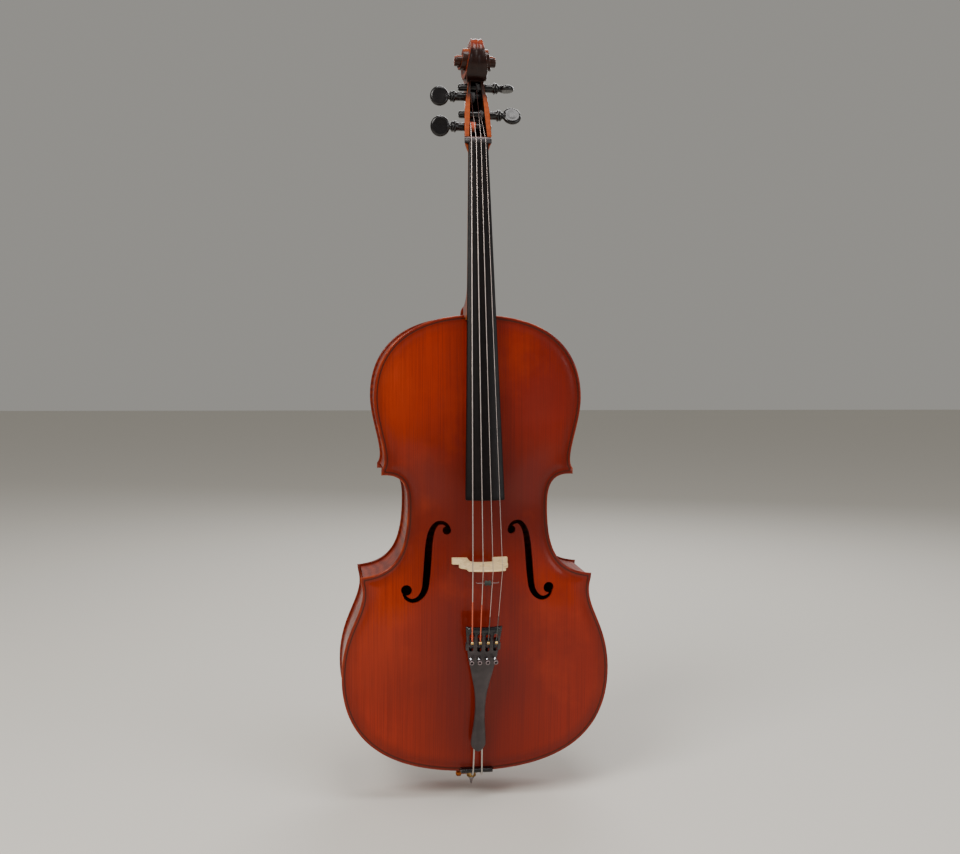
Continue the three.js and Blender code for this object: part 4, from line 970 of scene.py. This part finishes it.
def pegbox_hollow():
    """The mortise that holds the pegs, wider at the nut and following the head's slant."""
    side = trace((-60, 1043.4), (-33, 1043.4), ((-18, 1044), (-12, 1050), (-6, 1058)),
                 ((8, 1085), (18, 1108), (28, 1130)), ((31, 1138), (20, 1139), (8, 1138.5)), (-60, 1138.5))
    y, z = evenly(side, 4).T
    half = np.interp(z, *MORTISE_HALF)
    return loft([np.stack([t * half, lerp(y, -10, 0.02 * (abs(t) == 1)), z], axis=1)
                 for t in (-1, -0.92, 0, 0.92, 1)])


def make_neck():
    piece = make("neck_and_scroll", head_slab(), NECK)
    bores = []
    for peg in PEGS.values():
        bore = lathe([(0, -40), (7.3, -40), (7.3, 40), (0, 40)], 32)
        bores.append((moved(bore, Z_TO_X, peg_centre(peg)), MORTISE))
    carve(piece, [(pegbox_hollow(), MORTISE), *bores])
    rest = make("neck_rest", joined(neck_shaft(), volute(), mirrored(volute())), NECK, body=None)
    shape = bmesh.new()
    shape.from_mesh(piece.data)
    shape.from_mesh(rest.data)
    shape.to_mesh(piece.data)
    shape.free()
    bpy.data.objects.remove(rest)


# ---- bridge, saddle and endpin ----
def bridge_loops():
    """The bridge seen along the strings, as (x, height above its feet)."""
    crown = [(x, BRIDGE_HEIGHT + math.sqrt(BOARD_CAMBER ** 2 - x * x) - BOARD_CAMBER)
             for x in np.linspace(29, 0, 12)]
    half = trace(
        (20.5, -5), (45.5, -5), (45, 4), ((40, 9), (29, 7), (27, 22)), ((26, 32), (27, 35), (33, 36)),
        (38.5, 36.5), ((40, 43), (38.5, 54), (33, 58)), ((29, 62), (31, 74), (29, 84)), *crown, count=16,
    )
    arch = trace((0, 31), ((12, 31), (17.5, 29), (18.8, 22)), ((19.5, 16), (20.5, 8), (20.5, -5)), count=16)
    right = np.concatenate([arch[:-1], half])
    outer = np.concatenate([right, (right[1:-1] * [-1, 1])[::-1]])
    heart = trace((0, 43), ((3, 50), (9, 52), (9, 58)), ((9, 63), (3, 64), (0, 59)), count=12)
    heart = np.concatenate([heart, (heart[1:-1] * [-1, 1])[::-1]])
    kidney = trace((20, 46), ((20, 52), (28, 54), (31, 48)), (46, 46), (46, 43.5), (31, 44),
                   ((28, 39), (20, 41), (20, 46)), count=12)[:-1]
    return outer, [heart, kidney, kidney * [-1, 1]]


def make_bridge():
    outer, holes = bridge_loops()
    outer = evenly(np.concatenate([outer, outer[:1]]), 1.4)[:-1]
    flat, faces = fill(outer, holes, (0.35, 0.9), 2.6)
    edge = np.minimum.reduce([distance_to(flat, loop) for loop in (outer, *holes)])
    height = flat[:, 1]
    half = lerp(5.5, 1.3, np.clip((height + 5) / 96, 0, 1) ** 0.8)
    depth = half - 0.55 * np.clip(1 - edge / 0.9, 0, 1) ** 2

    def place(x, high, out):
        y = BRIDGE_TOP_Y + BRIDGE_HEIGHT - high
        z = BRIDGE_Z + out
        for string_place, radius in STRINGS.values():
            notch = np.exp(-((x - string_place * BRIDGE_PITCH) / (radius + 0.35)) ** 2)
            y = y + 0.7 * notch * (high > 80)
        return np.stack([x, np.minimum(y, -EDGE_Y - arch_rise(x, z) - 0.02), z], axis=1)

    make("bridge", shell(flat, faces, depth, -depth, place), MAPLE)


def make_saddle():
    half, depth, top = 26, 7, -72
    rings = []
    for x in (-half, -half + 0.3, -half + 1.2, -10, 0, 10, half - 1.2, half - 0.3, half):
        pull = 1.0 * float(round_off(np.array(half - abs(x)), 1.2))
        front = top + pull + 0.35 * float(smooth((12 - abs(x)) / 4))
        side = trace((-58, -0.4), (-58, depth), (-EDGE_Y - 1, depth),
                     ((front + 2, depth), (front, depth - 1), (front, 4)),
                     ((front, 1), (front + 1.5, -0.5), (front + 4, -0.5)), count=9)
        rings.append([(x, y, z) for y, z in side])
    make("bottom_saddle", loft(rings), POLISHED_EBONY)


def knurled(profile, ribs, points, depth):
    """Rings about Z from [radius, height, share of the knurl's depth] points."""
    angles = around(ribs * points)
    rings = []
    for radius, height, share in profile:
        r = radius - depth * share * (1 + np.cos(angles * ribs)) / 2
        rings.append(np.stack([r * np.cos(angles), r * np.sin(angles), np.full(len(angles), height)], axis=1))
    return rings


def make_endpin():
    bore = PIN_RADIUS + 0.5
    plug = lathe([(bore, PLUG_TOP), (bore, PLUG_BOTTOM), (8.2, PLUG_BOTTOM), (9.2, -18.6), (10.4, -17.4),
                  (12.6, -15), (14.4, -12.9), (15.2, -11.2), (15.5, -10), (15.3, -8.8), (14.6, -8),
                  (13.9, -7.3), (13.5, -6), (13.5, 6), (12, PLUG_TOP), (bore, PLUG_TOP)], 64)
    make("endpin_plug", plug, POLISHED_EBONY)
    low = COLLAR_END
    collar = lathe([(bore, PLUG_BOTTOM - 0.2), (bore, low), (6.9, low), (7.7, low + 0.5), (8.1, low + 1.4),
                    (8.1, -28.4), (7.6, -28.1), (7.6, -27.7), (8.1, -27.4), (8.1, -22.6), (7.6, -22.3),
                    (7.6, -21.9), (8.1, -21.6), (8.1, -20), (7.8, PLUG_BOTTOM - 0.2),
                    (bore, PLUG_BOTTOM - 0.2)], 56)
    make("endpin_collar", collar, BRASS)
    rod = lathe([(0, PIN_TIP), (0.7, PIN_TIP + 0.5), (3.2, PIN_TIP + 9), (4.4, PIN_TIP + 10),
                 (4.9, PIN_TIP + 10.6), (PIN_RADIUS, PIN_TIP + 12), (PIN_RADIUS, PIN_TOP - 1), (4.2, PIN_TOP),
                 (0, PIN_TOP)], 40)
    make("endpin_rod", rod, STEEL, "endpin")
    profile = [(0.01, 5.4, 0), (1.9, 5.4, 0), (1.9, 17, 0), (3.2, 17.4, 0), (4.6, 18.4, 0), (5.1, 19.2, 1),
               (5.1, 24, 1), (4.4, 25.2, 0), (3, 26.4, 0), (0.01, 27, 0)]
    across = np.array([[0, 0, -1], [1, 0, 0], [0, 1, 0]])
    screw = moved(loft(knurled(profile, 18, 4, 0.28)), across, (0, 0, THUMB_Z))
    make("endpin_thumb_screw", screw, COPPER, "thumb_screw")


# ---- tailpiece and tuners ----
TAIL_SIDE = catmull([(4, 0), (10.5, 6), (12, 18), (8.3, 66), (10, 106), (17.5, 145), (23.5, 174),
                     (29.5, TAIL_LENGTH)], 14)


def tail_half(z):
    return np.interp(z, TAIL_SIDE[:, 1], TAIL_SIDE[:, 0])


def tail_x(name):
    return STRINGS[name][0] * TAIL_PITCH


def make_tailpiece():
    outer = evenly(np.concatenate([TAIL_SIDE, (TAIL_SIDE * [-1, 1])[::-1], TAIL_SIDE[:1]]), 2)[:-1]
    holes = []
    for name in STRINGS:
        x = tail_x(name)
        holes.append(trace((x - 3.4, 187), (x - 3.4, 212), ((x - 3.4, 216), (x + 3.4, 216), (x + 3.4, 212)),
                           (x + 3.4, 187), ((x + 3.4, 183), (x - 3.4, 183), (x - 3.4, 187)), count=9)[:-1])
        holes.append(circle((x, SCREW_Z), 2.1, 20))
    flat, faces = fill(outer, holes, (0.4, 1.2), 3.4)
    edge = np.minimum.reduce([distance_to(flat, loop) for loop in (outer, *holes)])
    half = np.maximum(tail_half(flat[:, 1]), 1)
    curve = np.minimum(4.5, half * 0.5) * (flat[:, 0] / half) ** 2
    ease = 1.1 * np.clip(1 - edge / 1.3, 0, 1) ** 2

    def place(x, z, height):
        return np.stack([x, height, z], axis=1)

    plate = shell(flat, faces, curve + ease, curve + TAIL_THICKNESS - ease, place)
    fret = []
    for x in np.linspace(-27, 27, 28):
        pull = 1.5 * float(round_off(np.array(27 - abs(x)), 2))
        crest = -2.9 + pull + 0.012 * x * x * 0.4
        side = trace((6, 218), (crest + 2.4, 218), ((crest, 219), (crest, 225), (crest + 2.4, 226)), (6, 226),
                     count=8)
        fret.append([(x, y, z) for y, z in side])
    lugs = []
    for x in (-25.4, -12.9, 0, 12.9, 25.4):
        width = 3.0 if abs(x) < 20 else 2.4
        rings = []
        for t, pull in ((-1, 0.6), (-0.85, 0), (0.85, 0), (1, 0.6)):
            side = ((4, 186 + pull), (10, 186 + pull), (11.5 - pull, 187.5), (11.5 - pull, 196.5),
                    (10, 198 - pull), (4, 198 - pull))
            rings.append([(x + t * width, y, z) for y, z in side])
        lugs.append(loft(rings))
    make("tailpiece", in_tail(joined(plate, loft(fret), *lugs)), COMPOSITE)
    axle = lathe([(0, -24.5), (1.2, -24.5), (1.5, -24), (1.5, 24), (1.2, 24.5), (0, 24.5)], 24)
    make("tuner_axle", in_tail(moved(axle, Z_TO_X, (0, AXLE_DEPTH, AXLE_Z))), STEEL)


def make_tuner(name):
    x = tail_x(name)
    side = trace((10, 166), (10, 187), ((6, 187.5), (3.4, 188.5), (3, 192)), (2, 205.2), (-5.3, 206.9),
                 (-5.5, 208.9), (4, 208.9), ((10, 202), (12.5, 198), (12.5, 190)), (12.5, 166), count=10)
    flat, faces = fill(evenly(np.concatenate([side, side[:1]]), 0.9)[:-1], (), (0.35,), 1.6)
    edge = distance_to(flat, side)
    width = 2.5 - 0.35 * np.clip(1 - edge / 0.35, 0, 1)

    def place(y, z, out):
        return np.stack([out, y, z], axis=1)

    lever = moved(shell(flat, faces, width, -width, place), offset=(x, 0, 0))
    piece = make(f"tuner_lever_{name}", in_tail(lever), BLACK_STEEL, f"{name}_lever")
    slit = ((x - 1.2, -10), (x + 1.2, -10), (x + 1.2, 0.5), (x - 1.2, 0.5))
    carve(piece, [(in_tail(loft([[(*corner, z) for corner in slit] for z in (200, 215)])), BLACK_STEEL)])

    threads = [(0, -9.8), (1.25, -9.6)]
    for k in range(30):
        threads += [(1.65, -9.3 + k * 0.5), (1.4, -9.05 + k * 0.5)]
    threads += [(1.65, 5.7), (1.2, 6), (0, 6)]
    stem = moved(lathe(threads, 20), Z_TO_Y, (x, 0, SCREW_Z))
    make(f"tuner_stem_{name}", in_tail(stem), STEEL, f"{name}_screw")

    profile = [(2, 5.3, 0), (3.2, 5.3, 0), (3.7, 5.6, 1), (3.9, 6, 1), (3.9, 10.2, 1), (3.7, 10.6, 1),
               (3.1, 11, 0), (2.6, 11.1, 0), (2, 10.7, 0), (2, 5.3, 0)]
    knob = moved(loft(knurled(profile, 20, 4, 0.3), capped=False), Z_TO_Y, (x, 0, SCREW_Z))
    make(f"tuner_knob_{name}", in_tail(knob), DULL_STEEL, f"{name}_knob")

    ball = lathe([(0.9, -2.4), (1.9, -2.4), (2.6, -1.9), (2.9, -1), (2.5, 0), (2.9, 1), (2.6, 1.9),
                  (1.9, 2.4), (0.9, 2.4), (0.9, -2.4)], 32)
    ball = moved(ball, Z_TO_X, (x, -BALL_RISE, BALL_Z))
    make(f"string_ball_{name}", in_tail(ball), BRASS, f"{name}_lever")


GUT_ROUTE = [(7, -75.4, 10), (7.3, -74.1, 4), (7.5, -71.9, -1.8), (7.8, -68, -3.1), (9, -56, -3.1),
             (13, -22, -3.1), (15.7, -3, -3.1), (11.3, 11.3, -3.1), (0, 15.7, -3.1)]


def make_tail_gut():
    side = np.concatenate([tail_points((6.5, 5.2, 12), (6.5, 5.2, 1)), GUT_ROUTE])
    route = np.concatenate([side, (side[:-1] * [-1, 1, 1])[::-1]])
    make("tail_gut", tube(catmull(route, 8), 1.4, 14), CABLE)


# ---- pegs ----
def peg_shape(tip, collar, head):
    """A peg along X with its head towards +X: tapered shank, two rings and a broad, dished head."""
    rings = [(-0.8, 7.0), (0, 7.5), (0.4, 8.9), (1.3, 9.4), (2.4, 9.4), (3.3, 8.8), (3.8, 7.7), (4.3, 7.5),
             (4.8, 8.3), (5.8, 8.7), (7, 8.4), (7.8, 7.4), (8.5, 6.2), (9.6, 5.4), (11, 5.2), (13, 5.8),
             (15, 6.4), (17, 0)]
    shank = lathe([(0, -tip - 0.6), (3.2, -tip - 0.3), (5.2, 1 - tip), (5.9, 2.4 - tip), (6.9, 26),
                   *[(radius, collar + out) for out, radius in rings]], 48)
    angles = around(64)
    reach = head + 0.35 * np.cos(angles) - 0.45 * np.cos(angles * 2)
    middle = collar + 9.2 + head
    shares = np.array([0.02, 0.2, 0.36, 0.5, 0.62, 0.72, 0.8, 0.87, 0.92, 0.96, 0.985, 1.0])
    rings = []
    for face in (1, -1):
        for share in shares if face > 0 else shares[::-1][1:]:
            dish = 1.5 * max(1 - (share / 0.8) ** 2, 0) ** 1.2
            thick = face * (4.8 * max(1 - share ** 6, 0) ** 0.5 - dish)
            rings.append(np.stack([middle + share * reach * np.cos(angles), np.full(64, thick),
                                   share * reach * np.sin(angles)], axis=1))
    return joined(moved(shank, Z_TO_X), loft(rings))


def make_peg(name):
    peg = PEGS[name]
    facing = turn("Z", math.pi) if peg.side < 0 else np.eye(3)
    shape = peg_shape(peg.tip, peg.collar, peg.head)
    part = moved(shape, turn("X", peg.turn) @ facing, peg_centre(peg))
    make(f"peg_{name}", part, POLISHED_EBONY, f"{name}_peg")


# ---- strings ----
WIND_RADIUS = 6.7
SILK_FROM = {"C": 70, "G": 66, "D": 44, "A": 44}


def string_places(name):
    """Where a string leaves its peg, crosses the nut and the bridge, and meets its ball."""
    place, radius = STRINGS[name]
    peg = PEGS[name]
    nut_x, bridge_x = place * NUT_PITCH, place * BRIDGE_PITCH
    nut_point = np.array([nut_x, -43.2 + float(camber(nut_x)) - radius * 0.6, BOARD_NUT_Z + 4])
    bridge_point = np.array([bridge_x, BRIDGE_TOP_Y + float(camber(bridge_x)) - radius * 0.5, BRIDGE_Z])
    centre = np.array(peg_centre(peg, peg.wind_from + radius))
    reach = WIND_RADIUS + radius * 3 + 0.2
    gap = (nut_point - centre)[1:]
    bearing = math.atan2(gap[1], gap[0])
    tangent = bearing - math.acos(reach / np.linalg.norm(gap))
    on_peg = centre + reach * np.array([0, math.cos(tangent), math.sin(tangent)])
    ball = tail_points((tail_x(name), -BALL_RISE, BALL_Z + 2.6))[0]
    return on_peg, nut_point, bridge_point, ball, tangent


def eased(points):
    """A line with each inner corner rounded over a short reach."""
    reach = 3.5
    points = [np.array(p, float) for p in points]
    line = [points[0]]
    for before, corner, after in zip(points, points[1:], points[2:]):
        a, b = corner + reach * unit(np.stack([before - corner, after - corner]))
        line += [(1 - t) ** 2 * a + 2 * t * (1 - t) * corner + t * t * b for t in np.linspace(0, 1, 7)]
    return np.array([*line, points[-1]])


def make_string(name):
    radius = STRINGS[name][1]
    on_peg, nut_point, bridge_point, ball, tangent = string_places(name)
    silk_and_shade = RED_SILK if name in "CG" else GREEN_SILK
    ahead = (ball - bridge_point) / np.linalg.norm(ball - bridge_point)
    silk_start = ball - ahead * SILK_FROM[name]
    over = eased([on_peg, nut_point, bridge_point, silk_start])
    make(f"string_{name}", tube(over, radius, 12), STRING_STEEL)
    t = np.linspace(0, 1, 30)[:, None]
    line = silk_start + (ball - silk_start) * t
    sizes = radius + 0.16 * np.clip(t[:, 0] * 12, 0, 1) + 0.35 * smooth((t[:, 0] - 0.86) / 0.1)
    tail = make(f"string_{name}_silk", tube(line, sizes, 12), silk_and_shade, body=None)
    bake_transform(tail)
    return tangent


def make_winding(name, tangent):
    """The string's turns round its peg, from where it arrives to where it goes into the peg."""
    radius = STRINGS[name][1] + 0.12
    peg = PEGS[name]
    turns = 4.2
    t = np.linspace(0, 1, 180)
    angle = tangent - t * turns * 2 * math.pi
    reach = WIND_RADIUS + STRINGS[name][1] - 3.4 * smooth((t - 0.97) / 0.03)
    x = peg.wind_from + radius + t * turns * radius * 2.05
    _, y, z = peg_centre(peg)
    line = np.stack([x, y + reach * np.cos(angle), z + reach * np.sin(angle)], axis=1)
    silk_and_shade = RED_SILK if name == "C" else DARK_SILK
    make(f"peg_winding_{name}", tube(line, radius, 10), silk_and_shade, f"{name}_peg")


# ---- mute ----
def make_mute():
    at = (0, -172.9, 338)
    roller = lathe([(1.1, -5), (3, -5), (3.6, -4.7), (4, -4), (4, -1.6), (3.3, -1), (3.3, 1), (4, 1.6),
                    (4, 4), (3.6, 4.7), (3, 5), (1.1, 5), (1.1, -5)], 40)
    make("mute_rubber", moved(roller, Z_TO_X, at), RUBBER, "mute")
    half = 17.4
    route = [(-half, 7, 0), (-half, 2.5, 0), (-half + 2, 0.3, 0), (-9, 0, 0), (9, 0, 0), (half - 2, 0.3, 0),
             (half, 2.5, 0), (half, 7, 0)]
    make("mute_wire", moved(tube(catmull(route, 8), 0.55, 14), offset=at), DULL_STEEL, "mute")


# ---- the whole cello ----
make_belly()
make_back()
make_ribs()
make_fingerboard()
make_nut()
make_neck()
make_bridge()
make_saddle()
make_endpin()
make_tailpiece()
make_tail_gut()
make_mute()
for string in STRINGS:
    make_tuner(string)
    make_peg(string)
    make_winding(string, make_string(string))

CORNERS = [f"{level}_corner_block_{word}" for level in ("lower", "upper") for word in ("treble", "bass")]
for node in ("top_lining", "back_lining", "end_block", "neck_block", "sound_post", "bass_bar", *CORNERS):
    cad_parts[node].data.materials.clear()
    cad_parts[node].data.materials.append(RIBS if node in CORNERS else SPRUCE)


# ---- studio ----
def make_floor():
    mesh = bpy.data.meshes.new("floor")
    half, level = 12.0, PIN_TIP * MM - 0.0005
    corners = [(x * half, y * half, level) for x, y in ((-1, -1), (1, -1), (1, 1), (-1, 1))]
    mesh.from_pydata(corners, [], [(0, 1, 2, 3)])
    look = Look("floor")
    mesh.materials.append(look.finish(Base_Color=rgb(222, 218, 210), Roughness=0.85))
    floor = bpy.data.objects.new("floor", mesh)
    bpy.context.scene.collection.objects.link(floor)


def make_light(name, at, size, watts, colour=(1, 1, 1)):
    data = bpy.data.lights.new(name, "AREA")
    data.shape = "RECTANGLE"
    data.size, data.size_y = size
    data.energy = watts
    data.color = colour
    light = bpy.data.objects.new(name, data)
    light.location = at
    light.rotation_euler = (Vector((0, 0, 0.55)) - Vector(at)).to_track_quat("-Z", "Y").to_euler()
    bpy.context.scene.collection.objects.link(light)


make_floor()
make_light("key", (-1.8, -2.0, 2.6), (1.5, 1.5), 85, (1, 0.97, 0.92))
make_light("top", (0.25, -0.75, 3.1), (1.3, 1.0), 34, (1, 0.98, 0.97))
make_light("fill", (2.4, -1.9, 1.4), (2.0, 1.6), 26, (0.96, 0.98, 1))
make_light("back", (0.8, 2.4, 2.2), (1.8, 1.4), 40)
world = bpy.data.worlds.new("studio")
world.use_nodes = True
background = world.node_tree.nodes["Background"]
background.inputs["Color"].default_value = rgb(226, 223, 216)
background.inputs["Strength"].default_value = 0.4
bpy.context.scene.world = world
